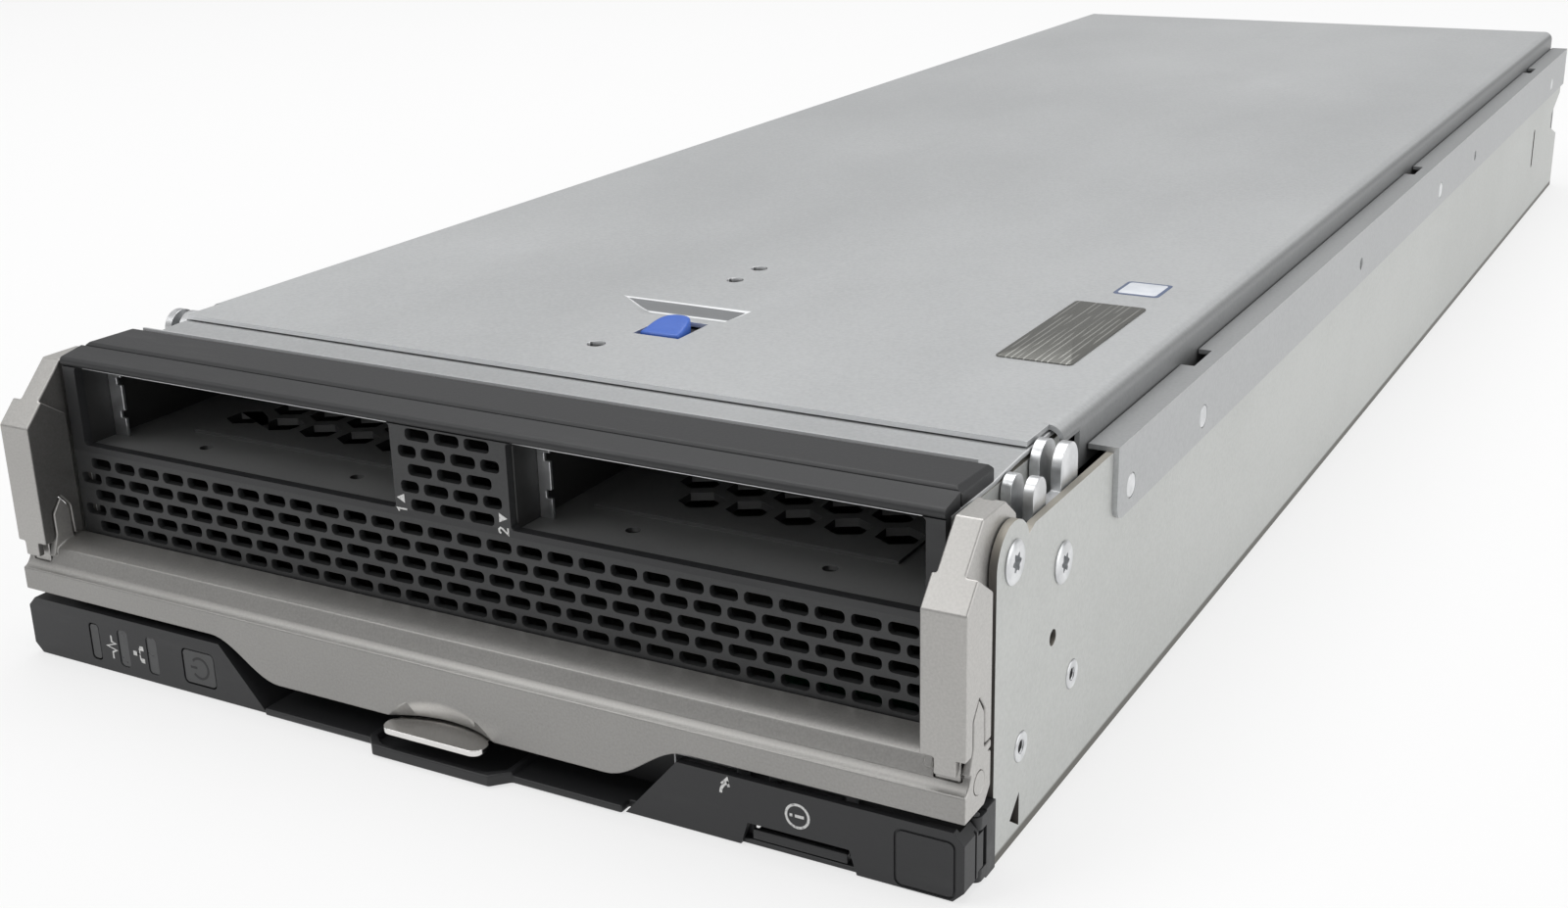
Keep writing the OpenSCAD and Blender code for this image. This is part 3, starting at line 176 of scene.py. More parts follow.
def zinc_sheet(name, upward_shade=1.0, sideways_shade=1.0, pressed=False):
    """Zinc-plated steel sheet: cool grey, with faint clouds, a fine grain and a few dull rubs. The two
    shares darken the faces that look up and to the sides, as painted shade. On pressed sheet the steep
    slopes to the front are darkened as painted shade, and their rims, the slopes to the right and the
    upright front edges carry painted highlights."""
    f = Finish(name, metallic=0.60)
    clouds = f.noise(9.0, 5.0, (1.0, 0.55, 1.0), 0.6)
    rubs = f.step(f.noise(26.0, 4.0, (1.0, 0.35, 1.0), 0.65), 0.58, 0.74)
    grain = f.noise(1300.0, 2.0)
    tone = (clouds * 0.55 + grain * 0.45 - rubs * 0.10).held()
    sheet = f.blend(f.step(tone, 0.30, 0.70), (0.475, 0.485, 0.492), (0.565, 0.575, 0.580))
    if pressed:
        ahead, right = f.facing("Y") * -1.0, f.facing("X")
        # Painted highlights on the rims, the slopes to the right and the upright front edges; painted
        # shade on the steep slopes to the front.
        bright, painted_shade = (0.86, 0.87, 0.88), (0.17, 0.175, 0.18)
        for share, colour in ((f.step(ahead, 0.04, 0.10), bright), (f.step(ahead, 0.22, 0.36), painted_shade),
                              (f.step(right, 0.15, 0.30) * (1.0 - f.step(right, 0.70, 0.90)), bright),
                              (f.step(ahead, 0.75, 0.95), bright)):
            sheet = f.blend(share, sheet, colour)
    # Painted shade: faces that look up and to the sides are darkened by the two shares.
    sheet = f.dull(sheet, f.step(f.facing("Z"), 0.6, 0.9), upward_shade)
    f["Base Color"] = f.dull(sheet, f.step(abs(f.facing("X")), 0.6, 0.9), sideways_shade)
    f["Roughness"] = 0.40 + clouds * 0.12 + rubs * 0.08
    f.emboss(grain, 0.00002, 0.30)
    return f.material


def cage_sheet():
    """Galvanised sheet of the drive cage, darkened all over as painted shade inside the bays; its sides
    and backs are darker than its floors, as further painted shade.
    """
    f = Finish("cage_sheet", metallic=0.45)
    clouds = f.noise(30.0, 4.0)
    grain = f.noise(1200.0, 2.0)
    # Kept dark as painted shade inside the bays; below, sides and backs are darkened further as painted
    # shade.
    sheet = f.blend(clouds, (0.21, 0.212, 0.212), (0.30, 0.302, 0.30))
    sheet = f.dull(sheet, f.step(f.facing("Y") * -1.0, 0.5, 0.8), 0.45)
    f["Base Color"] = f.dull(sheet, f.step(abs(f.facing("X")), 0.5, 0.8), 0.22)
    f["Roughness"] = 0.42 + grain * 0.15
    f.emboss(grain, 0.00002, 0.30)
    return f.material


def wall_sheet():
    """Warmer zinc sheet of the side walls: cut edges are brassy where they face up and dark, as painted
    shade, where they face elsewhere, and the lowest two millimetres are dark where the floor sheet folds
    under."""
    f = Finish("wall_sheet", metallic=0.50)
    clouds = f.noise(14.0, 5.0, (1.0, 0.6, 1.0), 0.6)
    grain = f.noise(1500.0, 2.0)
    tone = clouds * 0.6 + grain * 0.4
    flat = f.blend(f.step(tone, 0.30, 0.70), (0.475, 0.485, 0.470), (0.565, 0.575, 0.560))
    # Cut edges: their own brassy colour where they face up, and dark as painted shade where they face
    # elsewhere.
    edge = f.blend(f.step(f.facing("Z"), 0.2, 0.8), (0.15, 0.14, 0.13), (0.34, 0.32, 0.28))
    sheet = f.blend(f.step(1.0 - abs(f.facing("X")), 0.45, 0.75), flat, edge)
    f["Base Color"] = f.blend(f.step(f.axis("Z"), 0.0013, 0.0021), (0.13, 0.125, 0.11), sheet)
    f["Roughness"] = 0.42 + clouds * 0.12
    f.emboss(grain, 0.00002, 0.30)
    return f.material


def cast_silver(name, forward_shade=1.0, inward=1.0, upward_shade=1.0):
    """Silver paint on a die casting: warm grey with a fine metallic sparkle. The shares darken the faces
    that look to the front, to the right and up, as painted shade."""
    f = Finish(name, metallic=0.80)
    sparkle = f.noise(2100.0, 2.0)
    clouds = f.noise(40.0, 3.0)
    coat = f.blend(sparkle * 0.7 + clouds * 0.3, (0.38, 0.372, 0.358), (0.64, 0.628, 0.607))
    # Painted shade: faces that look to the front, up and to the right are darkened by the shares.
    coat = f.dull(coat, f.step(f.facing("Y") * -1.0, 0.15, 0.90), forward_shade)
    coat = f.dull(coat, f.step(f.facing("Z"), 0.40, 0.95), upward_shade)
    f["Base Color"] = f.dull(coat, f.step(f.facing("X"), 0.6, 0.9), inward)
    f["Roughness"] = 0.36 + sparkle * 0.12
    f.emboss(sparkle, 0.00003, 0.30)
    return f.material


def charcoal_plastic():
    """Moulded charcoal plastic with a fine grain and faint rubbed streaks."""
    f = Finish("charcoal_plastic")
    grain = f.noise(1800.0, 2.0)
    rubbed = f.step(f.noise(55.0, 5.0, (0.20, 1.0, 1.0), 0.7), 0.50, 0.75)
    f["Base Color"] = f.blend(rubbed, (0.020, 0.0205, 0.022), (0.030, 0.031, 0.032))
    f["Roughness"] = 0.44 - rubbed * 0.08 + grain * 0.08
    f.emboss(grain, 0.00005, 0.30)
    return f.material


def grille_grey():
    """Dark painted metal of the perforated plates."""
    f = Finish("grille_grey", metallic=0.20)
    grain = f.noise(1500.0, 2.0)
    f["Base Color"] = f.blend(grain, (0.030, 0.031, 0.032), (0.050, 0.051, 0.052))
    f["Roughness"] = 0.38 + grain * 0.12
    f.emboss(grain, 0.00004, 0.30)
    return f.material


def bright_steel():
    """Bright turned or stamped steel with light and dark stains."""
    f = Finish("bright_steel", metallic=0.85)
    stains = f.noise(260.0, 3.0)
    f["Base Color"] = f.blend(f.step(stains, 0.3, 0.7), (0.58, 0.59, 0.60), (0.78, 0.79, 0.80))
    f["Roughness"] = 0.24 + stains * 0.18
    f.emboss(f.noise(900.0, 2.0), 0.00002, 0.25)
    return f.material


def polished_chrome():
    """Polished nickel with a very slight waviness."""
    f = Finish("polished_chrome", metallic=1.0)
    ripples = f.noise(120.0, 2.0)
    f["Base Color"] = f.blend(ripples, (0.72, 0.71, 0.69), (0.82, 0.81, 0.80))
    f["Roughness"] = 0.10 + ripples * 0.10
    f.emboss(ripples, 0.00006, 0.20)
    return f.material


def blue_plastic():
    """Blue moulded plastic of the touch point."""
    f = Finish("blue_plastic", coat_weight=0.10)
    grain = f.noise(1400.0, 2.0)
    f["Base Color"] = f.blend(grain, (0.030, 0.105, 0.46), (0.045, 0.14, 0.56))
    f["Roughness"] = 0.38 + grain * 0.10
    f.emboss(grain, 0.00003, 0.30)
    return f.material


def key_plastic():
    """Dark grey rubbery plastic of the keys."""
    f = Finish("key_plastic")
    grain = f.noise(1200.0, 2.0)
    f["Base Color"] = f.blend(grain, (0.060, 0.061, 0.062), (0.080, 0.081, 0.082))
    f["Roughness"] = 0.48 + grain * 0.12
    f.emboss(grain, 0.00004, 0.30)
    return f.material


def clear_pipe():
    """Milky clear plastic of the unlit light pipes."""
    f = Finish("clear_pipe", transmission_weight=0.2, ior=1.49)
    haze = f.noise(500.0, 2.0)
    f["Base Color"] = f.blend(haze, (0.06, 0.062, 0.064), (0.10, 0.102, 0.104))
    f["Roughness"] = 0.22 + haze * 0.15
    return f.material


def circuit_board():
    """Green solder mask with a maze of slightly raised copper tracks."""
    f = Finish("circuit_board", coat_weight=0.25)
    tracks = f.step(f.noise(330.0, 0.0, (1.0, 0.2, 1.0)), 0.49, 0.51)
    across = f.step(f.noise(310.0, 0.0, (0.2, 1.0, 1.0)), 0.54, 0.56)
    copper = (tracks + across).held()
    f["Base Color"] = f.blend(copper, (0.006, 0.050, 0.022), (0.012, 0.085, 0.040))
    f["Roughness"] = 0.34 + f.noise(90.0) * 0.12
    f.emboss(copper, 0.00004, 0.5)
    return f.material


def black_plastic():
    """Black glass-filled plastic of the connectors."""
    f = Finish("black_plastic")
    grain = f.noise(1600.0, 2.0)
    f["Base Color"] = f.blend(grain, (0.010, 0.010, 0.011), (0.020, 0.020, 0.021))
    f["Roughness"] = 0.45 + grain * 0.15
    f.emboss(grain, 0.00004, 0.3)
    return f.material


def milled_aluminium():
    """Bright aluminium with fine lines along Y."""
    f = Finish("milled_aluminium", metallic=1.0)
    lines = f.noise(900.0, 2.0, (1.0, 0.02, 1.0))
    f["Base Color"] = f.blend(lines, (0.60, 0.61, 0.62), (0.74, 0.75, 0.76))
    f["Roughness"] = 0.25 + lines * 0.12
    f.emboss(lines, 0.00003, 0.3)
    return f.material


def brushed_badge():
    """Dark anodised plate with broken bright lines along its length, one every 1.25 mm across it."""
    f = Finish("brushed_badge", metallic=0.6)
    beat = (f.axis("X") / 0.00125).maths("FRACT")
    shown = f.step(f.noise(300.0, 1.0, (4.0, 0.22, 1.0)), 0.42, 0.52)
    lines = (1.0 - f.step(abs(beat - 0.5), 0.08, 0.17)) * shown
    fine = f.noise(2600.0, 2.0, (1.0, 0.02, 1.0))
    f["Base Color"] = f.blend(lines * 0.85 + fine * 0.15, (0.125, 0.125, 0.115), (0.34, 0.34, 0.32))
    f["Roughness"] = 0.34 + fine * 0.15
    f.emboss(lines, 0.00002, 0.40)
    return f.material


def foil_sticker():
    """Plain silver foil with soft clouds of tone."""
    f = Finish("foil_sticker", metallic=0.3)
    clouds = f.noise(300.0, 3.0)
    f["Base Color"] = f.blend(clouds, (0.72, 0.76, 0.82), (0.86, 0.88, 0.92))
    f["Roughness"] = 0.30 + clouds * 0.15
    return f.material


def slate_ink():
    """Slate-blue ink of the sticker's rim."""
    f = Finish("slate_ink")
    haze = f.noise(900.0, 2.0)
    f["Base Color"] = f.blend(haze, (0.085, 0.115, 0.20), (0.13, 0.165, 0.26))
    f["Roughness"] = 0.40 + haze * 0.10
    return f.material


def white_print():
    """White pad print, a little uneven at its edges."""
    f = Finish("white_print")
    wear = f.noise(2400.0, 2.0)
    f["Base Color"] = f.blend(f.step(wear, 0.25, 0.5), (0.35, 0.35, 0.35), (0.72, 0.72, 0.71))
    f["Roughness"] = 0.45 + wear * 0.1
    return f.material


# ---------------------------------------------------------------- soft edges and finishes of the solids


def soften(node, width, segments=2, held=True):
    """Rounds a solid's edges: merges its loose triangles, joins flat ones, bevels, and evens the
    shading. Unless it is held, the rounding keeps its full width next to small details."""
    solid = frame["nodes"][node]
    weld = solid.modifiers.new("weld", "WELD")
    weld.merge_threshold = 1e-6
    flat = solid.modifiers.new("flat", "DECIMATE")
    flat.decimate_type = "DISSOLVE"
    flat.angle_limit = math.radians(0.5)
    bevel = solid.modifiers.new("bevel", "BEVEL")
    bevel.width = width
    bevel.segments = segments
    bevel.limit_method = "ANGLE"
    bevel.angle_limit = math.radians(32)
    bevel.miter_outer = "MITER_ARC"
    bevel.use_clamp_overlap = held
    even = solid.modifiers.new("even", "WEIGHTED_NORMAL")
    even.weight = 80


def paint(material, *nodes):
    """Gives solids one material."""
    for node in nodes:
        solid = frame["nodes"][node]
        solid.data.materials.clear()
        solid.data.materials.append(material)


ZINC = zinc_sheet("zinc_sheet")
# The cover and deck get painted highlights and painted shade on their slopes and edges; the deck, rail and
# flange shares darken faces that look up or to the sides, as painted shade.
COVER = zinc_sheet("cover_sheet", pressed=True)
DECK = zinc_sheet("deck_sheet", upward_shade=0.84, pressed=True)
RAIL = zinc_sheet("rail_sheet", upward_shade=0.70, sideways_shade=0.84)
FLANGE = zinc_sheet("flange_sheet", sideways_shade=0.50)
CAGE = cage_sheet()
WALL = wall_sheet()
# Copies of one silver paint, each darkened by facing as painted shade; the left arm's faces that look to
# the right carry the strongest painted shade.
BAR = cast_silver("bar_silver", forward_shade=0.63, upward_shade=0.79)
ARM = cast_silver("arm_silver", forward_shade=0.84)
ARM_LEFT = cast_silver("left_arm_silver", forward_shade=0.84, inward=0.42)
CHARCOAL = charcoal_plastic()
GRILLE = grille_grey()
STEEL = bright_steel()
CHROME = polished_chrome()
BLUE = blue_plastic()
KEY = key_plastic()
PIPE = clear_pipe()
BOARD = circuit_board()
BLACK = black_plastic()
ALUMINIUM = milled_aluminium()
BADGE = brushed_badge()
FOIL = foil_sticker()
SLATE = slate_ink()
PRINT = white_print()

paint(ZINC, "cover_shoulders", "cover_flanges", "cover_hooks", "rear_wall", "latch_keeper",
      "port_shells")
paint(COVER, "access_cover")
paint(DECK, "front_deck")
paint(RAIL, "rail_left", "rail_right")
paint(WALL, "base_tray", "side_wall_left", "side_wall_right", "pocket_plates")
paint(CAGE, "drive_cage", "cage_shelves")
paint(BAR, "handle_bar")
paint(ARM, "handle_arm_right", "handle_pins")
paint(ARM_LEFT, "handle_arm_left")
paint(CHARCOAL, "top_trim", "bezel", "lower_beam", "lower_lip", "control_panel", "port_door", "info_tab",
      "air_baffles")
paint(GRILLE, "vent_grille", "divider_grille")
paint(STEEL, "pivot_screws", "press_nuts", "rail_rivets", "door_pin", "board_fixings", "drive_link_left",
      "drive_link_right", "bay_strips", "guide_sockets", "ejector_left", "ejector_right")
paint(CHROME, "thumb_tab")
paint(BLUE, "cover_button")
paint(KEY, "power_button", "locator_button")
paint(PIPE, "light_pipes")
paint(BOARD, "control_board", "port_board", "drive_backplane", "system_board", "mezzanine_card",
      "memory_modules")
paint(BLACK, "drive_connectors", "board_connectors", "processor_sockets", "memory_sockets",
      "rear_connectors")
paint(ALUMINIUM, "heatsinks", "processors")

for node in ("handle_arm_left", "handle_arm_right", "handle_bar"):
    soften(node, 0.35 * MM, segments=3, held=False)
ROUNDED = {
    0.1: "port_shells",
    0.15: "bay_strips",
    0.2: "info_tab drive_cage cage_shelves vent_grille divider_grille pocket_plates rear_wall"
         " drive_link_left drive_link_right",
    0.25: "side_wall_left side_wall_right locator_button",
    0.3: "bezel lower_beam front_deck power_button rail_rivets",
    0.35: "lower_lip",
    0.4: "ejector_left ejector_right access_cover rail_left rail_right",
    0.45: "thumb_tab top_trim",
    0.5: "cover_button",
    0.6: "control_panel",
    0.7: "port_door",
}
for width, nodes in ROUNDED.items():
    for node in nodes.split():
        soften(node, width * MM)


# ---------------------------------------------------------------- pieces made from grids of points

# Sizes from here on are in millimetres, with y counted back from a line in front of the handle's pivot.
PIVOT_BACK = 3.1
JOINTS = {joint["name"]: joint for joint in frame["record"]["behaviour"]["joints"]}
SHIFT = np.array((0.0, JOINTS["handle_swing"]["pos_m"][1] / MM - PIVOT_BACK, 0.0))
# How far a printed mark reaches into its surface.
SUNK = 0.02
SCREW_HEAD = ((-8.0, 0.0, 0), (-8.0, 1.95, 0), (0.0, 1.95, 0), (0.0, 3.75, 0), (0.25, 3.85, 0),
              (0.5, 3.55, 0), (0.62, 3.1, 0), (0.62, 1.9, 0.5), (0.58, 0.0, 1), (-0.75, 0.0, 1),
              (-0.8, 0.0, 0))
STAR_LOBES = 0.30
# A black disc down each nut's bore, as painted shade.
NUT_BORE_SHADE = ((-0.35, 1.36, 0), (-0.35, 0.0, 0))
FOLD_RADIUS, SHEET = 3.0, 0.95
BUTTON_MIDDLE, BUTTON_HALF, BUTTON_FRONT, BUTTON_RUN = (4.7, 61.6), 4.6, 58.5, 9.3
BADGE_PLATE = ((73.3, 72.6), (89.2, 117.2))
STICKER_RIM = ((77.9, 127.0), (88.2, 138.2))
STICKER_FACE = ((78.7, 127.9), (87.4, 137.3))
# The floor's half width in metres, the camera's place, and its turn, drop and roll in degrees.
FLOOR_REACH = 12.0
CAMERA_AT = (212.56, -548.69, 172.31)
CAMERA_TURNS = (-29.307, -19.658, -1.336)
FOCAL_LENGTH = 43.94


def span(node):
    """A node's lowest and highest corner in millimetres."""
    return np.array(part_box(node)) / MM - SHIFT


def pivot(joint):
    """A joint's point in millimetres."""
    return np.array(JOINTS[joint]["pos_m"]) / MM - SHIFT


def build(name, sheets, material, body, slot, *replaced, sharp=40.0):
    """Joins grids of points into one piece. Each grid says whether its rows and its columns close on
    themselves. Neighbouring points make four-sided faces, and equal points are merged."""
    corners, faces, start = [], [], 0
    for points, rows_close, columns_close in sheets:
        rows, columns = points.shape[:2]
        number = start + np.arange(rows * columns).reshape(rows, columns)
        start += rows * columns
        if rows_close:
            number = np.vstack((number, number[:1]))
        if columns_close:
            number = np.hstack((number, number[:, :1]))
        corners.append(points.reshape(-1, 3))
        sides = (number[:-1, :-1], number[1:, :-1], number[1:, 1:], number[:-1, 1:])
        faces.append(np.stack(sides, axis=-1).reshape(-1, 4))
    mesh = bpy.data.meshes.new(name)
    points = (np.concatenate(corners) + SHIFT) * MM
    mesh.from_pydata(points.tolist(), [], np.concatenate(faces).tolist())
    shape = bmesh.new()
    shape.from_mesh(mesh)
    bmesh.ops.remove_doubles(shape, verts=shape.verts, dist=1e-6)
    bmesh.ops.recalc_face_normals(shape, faces=shape.faces)
    shape.to_mesh(mesh)
    shape.free()
    mesh.shade_smooth()
    mesh.set_sharp_from_angle(angle=math.radians(sharp))
    mesh.materials.append(material)
    piece = bpy.data.objects.new(name, mesh)
    bpy.context.scene.collection.objects.link(piece)
    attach(piece, body)
    if replaced:
        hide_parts(*replaced)
    return piece


def front(at):
    """Sets marks on a plane that faces the front: across to the right, up, and out to the front."""
    return lambda across, up, out: np.stack(np.broadcast_arrays(across, at - out, up), axis=-1)


def top(at):
    """Sets marks on a plane that faces up: across to the right, back, and out upwards."""
    return lambda across, back, out: np.stack(np.broadcast_arrays(across, back, at + out), axis=-1)


def turned(profile, centre, side, lobes=0.0, columns=48):
    """A part turned about X: each row has a distance out from the centre, a radius, and a share of a
    six-lobed star whose radius swings around 1.5 mm by lobes."""
    out, radius, share = np.array(profile).T[:, :, None]
    angle = np.linspace(0, 2 * np.pi, columns, endpoint=False)[None, :]
    star = 1.5 + lobes * np.cos(6 * angle)
    reach = radius * (1 - share) + star * share
    x = centre[0] + side * out + 0 * angle
    y, z = centre[1] + reach * np.cos(angle), centre[2] + reach * np.sin(angle)
    return np.stack((x, y, z), axis=-1), False, True


def tile(place, low, high, radius, profile, corner=6):
    """A flat tile with round corners: each row of the profile has a distance in from the rim, or None
    for the middle, and a height. A last row closes the middle."""
    low, high = np.array(low), np.array(high)
    quarter = np.linspace(0, np.pi / 2, corner)
    angle = np.concatenate([quarter + turn * np.pi / 2 for turn in range(4)])
    round_corner = np.stack((np.cos(angle), np.sin(angle)), axis=-1)
    pull = np.repeat([[1, 1], [-1, 1], [-1, -1], [1, -1]], corner, axis=0)
    middle, half = (low + high) / 2, (high - low) / 2
    rows = []
    for inward, height in (*profile, (None, profile[-1][1])):
        if inward is None:
            rim = np.zeros((len(angle), 2))
        else:
            bend = max(radius - inward, 0.02)
            rim = pull * (half - inward - bend) + bend * round_corner
        rows.append(place(middle[0] + rim[:, 0], middle[1] + rim[:, 1], height))
    return np.stack(rows), False, True


def stroke(place, path, width, height, closed=False):
    """A raised line along a path of points: each point is moved half the width to both sides, square to
    the mean of its two directions. Its corners are mitred and its ends are square."""
    path = np.array(path, dtype=float)
    ahead = np.roll(path, -1, axis=0) - path
    if not closed:
        ahead[-1] = ahead[-2]
    ahead /= np.linalg.norm(ahead, axis=1, keepdims=True)
    behind = np.roll(ahead, 1, axis=0)
    if not closed:
        behind[0] = ahead[0]
    mean = ahead + behind
    mean /= np.linalg.norm(mean, axis=1, keepdims=True)
    stretch = np.clip(np.sum(mean * ahead, axis=1, keepdims=True), 0.5, 1.0)
    side = np.stack((-mean[:, 1], mean[:, 0]), axis=-1) / stretch * width / 2
    lines = [(path - side, -SUNK), (path - side, height), (path + side, height), (path + side, -SUNK)]
    rows = np.stack([place(line[:, 0], line[:, 1], level) for line, level in lines], axis=1)
    if not closed:
        ends = [np.repeat(rows[end].mean(axis=0)[None, None], 4, axis=1) for end in (0, -1)]
        rows = np.concatenate((ends[0], rows, ends[1]))
    return rows, closed, True


def arc(centre, radius, start, end, steps=24):
    """Points on an arc, with its angles in degrees."""
    angle = np.radians(np.linspace(start, end, steps))
    return np.stack((centre[0] + radius * np.cos(angle), centre[1] + radius * np.sin(angle)), axis=-1)


def make_side_screws():
    """The star-recess screws of the handle and the ejectors: a chamfered head and a six-lobed recess."""
    wall = span("side_wall_right")[1][0]
    sheets = [turned(SCREW_HEAD, (side * wall, *pivot(joint)[1:]), side, lobes=STAR_LOBES)
              for side in (-1, 1) for joint in ("handle_swing", "ejector_right_turn")]
    build("side_screws", sheets, STEEL, "chassis", "bright_steel", "pivot_screws")


def make_side_nuts():
    """Pressed-in nuts: a flush ring with a sunk rim and a thread of fine ridges down the bore. A black
    disc a third of a millimetre down in it is painted shade that darkens the bore."""
    inner, outer = span("side_wall_right")[0][0], span("side_wall_right")[1][0]
    back = inner - outer - 1.0
    thread = [(0.1 - 0.17 * step, 1.28 + 0.16 * (step % 2), 0) for step in range(16)]
    ring = [(back, 1.4, 0), (back, 3.5, 0), (inner - outer, 3.5, 0), (inner - outer, 2.7, 0),
            (0.05, 2.7, 0), (0.2, 2.55, 0), (0.2, 1.75, 0), *thread]
    mounts = [mount for mount in frame["record"]["mounts"] if mount["name"].startswith("side_nut")]
    rings, bore_shades = [], []
    for x, y, z in (np.array(mount["pos_m"]) / MM - SHIFT for mount in mounts):
        side = math.copysign(1, x)
        rings.append(turned(ring, (side * outer, y, z), side, columns=32))
        bore_shades.append(turned(NUT_BORE_SHADE, (side * outer, y, z), side, columns=24))
    build("side_nuts", rings, STEEL, "chassis", "bright_steel", "press_nuts")
    # Black discs in the bores: painted shade.
    build("nut_bore_shade", bore_shades, BLACK, "chassis", "black_plastic")


def make_cover_sides():
    """The cover's rounded shoulders and its flanges as one folded sheet on each side. Its section is a
    strip on the top, a quarter circle, and an upright strip that is short on the hood in front and
    long on the flange. The section is drawn along Y, and both its ends are closed."""
    lid, hood, flange = span("access_cover"), span("cover_shoulders"), span("cover_flanges")
    outer, lift = flange[1][0] + 0.03, lid[1][2] + SUNK
    centre = np.array((outer - FOLD_RADIUS, lift - FOLD_RADIUS))
    turn = np.radians(np.linspace(90, 0, 9))
    way = np.stack((np.cos(turn), np.sin(turn)), axis=-1)
    lengths = ((hood[0][1], flange[0][1], centre[1] + 0.4), (flange[0][1], lid[1][1], flange[0][2]))
    for side, word in ((-1, "left"), (1, "right")):
        sheets = []
        for start, end, foot in lengths:
            outside = np.vstack(((centre[0] - 1.6, lift - SUNK), (centre[0] - 0.8, lift),
                                 centre + FOLD_RADIUS * way, (outer, foot + 0.2), (outer - 0.2, foot)))
            inside = np.vstack(((centre[0] - 1.6, lift - SHEET), centre + (FOLD_RADIUS - SHEET) * way,
                                (outer - SHEET, foot + 0.2), (outer - SHEET + 0.2, foot)))
            even, steps = np.linspace(0, len(inside) - 1, len(outside)), np.arange(len(inside))
            opposite = np.stack([np.interp(even, steps, line) for line in inside.T], axis=-1)

            def row(line, y):
                return np.stack((side * line[:, 0], np.full(len(line), y), line[:, 1]), axis=-1)

            section = np.vstack((outside, inside[::-1]))
            sheets.append((np.stack((row(section, start), row(section, end))), False, True))
            sheets += [(np.stack((row(outside, y), row(opposite, y))), False, False) for y in (start, end)]
        replaced = ("cover_shoulders", "cover_flanges") if side > 0 else ()
        build(f"cover_side_{word}", sheets, FLANGE, "cover", "zinc_steel", *replaced, sharp=30.0)


def make_cover_button():
    """The blue touch point. Its straight front edge lies flush with the cover, its sides draw in on a
    flattened ellipse to a round back, and its top climbs on half a cosine. Rings that shrink towards
    the middle, each a little less far below that top, round its edge. A black plate and stem hold it;
    their black is painted shade in the gap around the button."""
    low, high = span("cover_button")
    sheet = span("access_cover")[1][2]
    lid, middle = top(sheet), np.array(BUTTON_MIDDLE)
    turn = np.linspace(0, 2 * np.pi, 72, endpoint=False)
    across, back = np.cos(turn), np.sin(turn)
    rim = np.stack((middle[0] + BUTTON_HALF * np.sign(across) * np.abs(across) ** 0.8,
                    BUTTON_FRONT + np.where(back > 0, BUTTON_RUN, 0.6) * back), axis=-1)
    share = np.array((0.0, 1.0, 1.0, 0.97, 0.91, 0.80, 0.60, 0.35, 0.0))[:, None, None]
    drop = np.array((3.0, 3.0, 0.55, 0.22, 0.06, 0.0, 0.0, 0.0, 0.0))[:, None]
    spots = middle + share * (rim - middle)
    climb = (1 - np.cos(np.pi * np.clip((spots[..., 1] - BUTTON_FRONT + 0.6) / 8.6, 0, 1))) / 2
    crown = high[2] - sheet - 0.35
    cap = lid(spots[..., 0], spots[..., 1], 0.35 + crown * climb - drop)
    build("button_cap", [(cap, False, True)], BLUE, "cover_button", "blue_plastic", "cover_button",
          sharp=50.0)
    # The plate and stem are black as painted shade in the gap around the button.
    plate = tile(lid, low[:2], high[:2], 0.8, ((None, -2.4), (0, -2.4), (0, -1.5), (0.1, -1.4)))
    stem = tile(top(low[2]), (2.4, 60.9), (7.0, 65.7), 0.5,
                ((None, 0), (0, 0), (0, sheet - low[2] - 2.2)))
    build("button_plate", [plate, stem], BLACK, "cover_button", "black_plastic")


def make_front_edges():
    """The deck's lip behind the top trim, as one straight raised line, bright with the cover sheet's
    painted highlight, and the dark sill and cheek under the door's notch, as two tiles whose dark is
    painted shade in the notch."""
    trim, deck = span("top_trim"), span("front_deck")
    rear, rise = trim[1][1] + 0.42, trim[1][2] - deck[1][2] - 0.1
    reach = trim[1][0] - 3.0
    # The lip's upright front takes the cover sheet's painted highlight.
    lip = stroke(top(deck[1][2]), [(-reach, rear), (reach, rear)], 0.5, rise)
    build("deck_lip", [lip], COVER, "chassis", "zinc_steel")
    low, high = span("port_door")
    # The sill and cheek fill the door's notch in dark charcoal, as painted shade.
    sill = tile(top(low[2] + 0.05), (62.5, low[1] + 0.7), (high[0] - 8.0, low[1] + 3.2), 0.3,
                ((None, 0), (0, 0), (0, 0.75), (0.1, 0.85)))
    cheek = tile(top(low[2] + 0.1), (60.0, low[1] + 2.3), (66.9, low[1] + 3.2), 0.3,
                 ((None, 0), (0, 0), (0, 5.4), (0.1, 5.5)))
    build("door_sill", [sill, cheek], CHARCOAL, "port_door", "charcoal_plastic")


def make_badge_and_sticker():
    """A bare dark plate near the cover's right edge, and behind it a bare foil sticker with a slate rim.
    Each is a tile: its rim is upright, and its top edge has a narrow slope."""
    lid = top(span("access_cover")[1][2])
    for name, corners, radius, low, high, slope, material, slot in (
        ("cover_badge", BADGE_PLATE, 1.0, -SUNK, 0.25, (0.15, 0.10), BADGE, "charcoal_plastic"),
        ("sticker_rim", STICKER_RIM, 1.0, -SUNK, 0.06, (0.03, 0.02), SLATE, "blue_plastic"),
        ("sticker_face", STICKER_FACE, 0.8, 0.07, 0.10, (0.03, 0.01), FOIL, "clear_plastic"),
    ):
        profile = ((0, low), (0, high), (slope[0], high + slope[1]))
        build(name, [tile(lid, *corners, radius, profile)], material, "cover", slot)


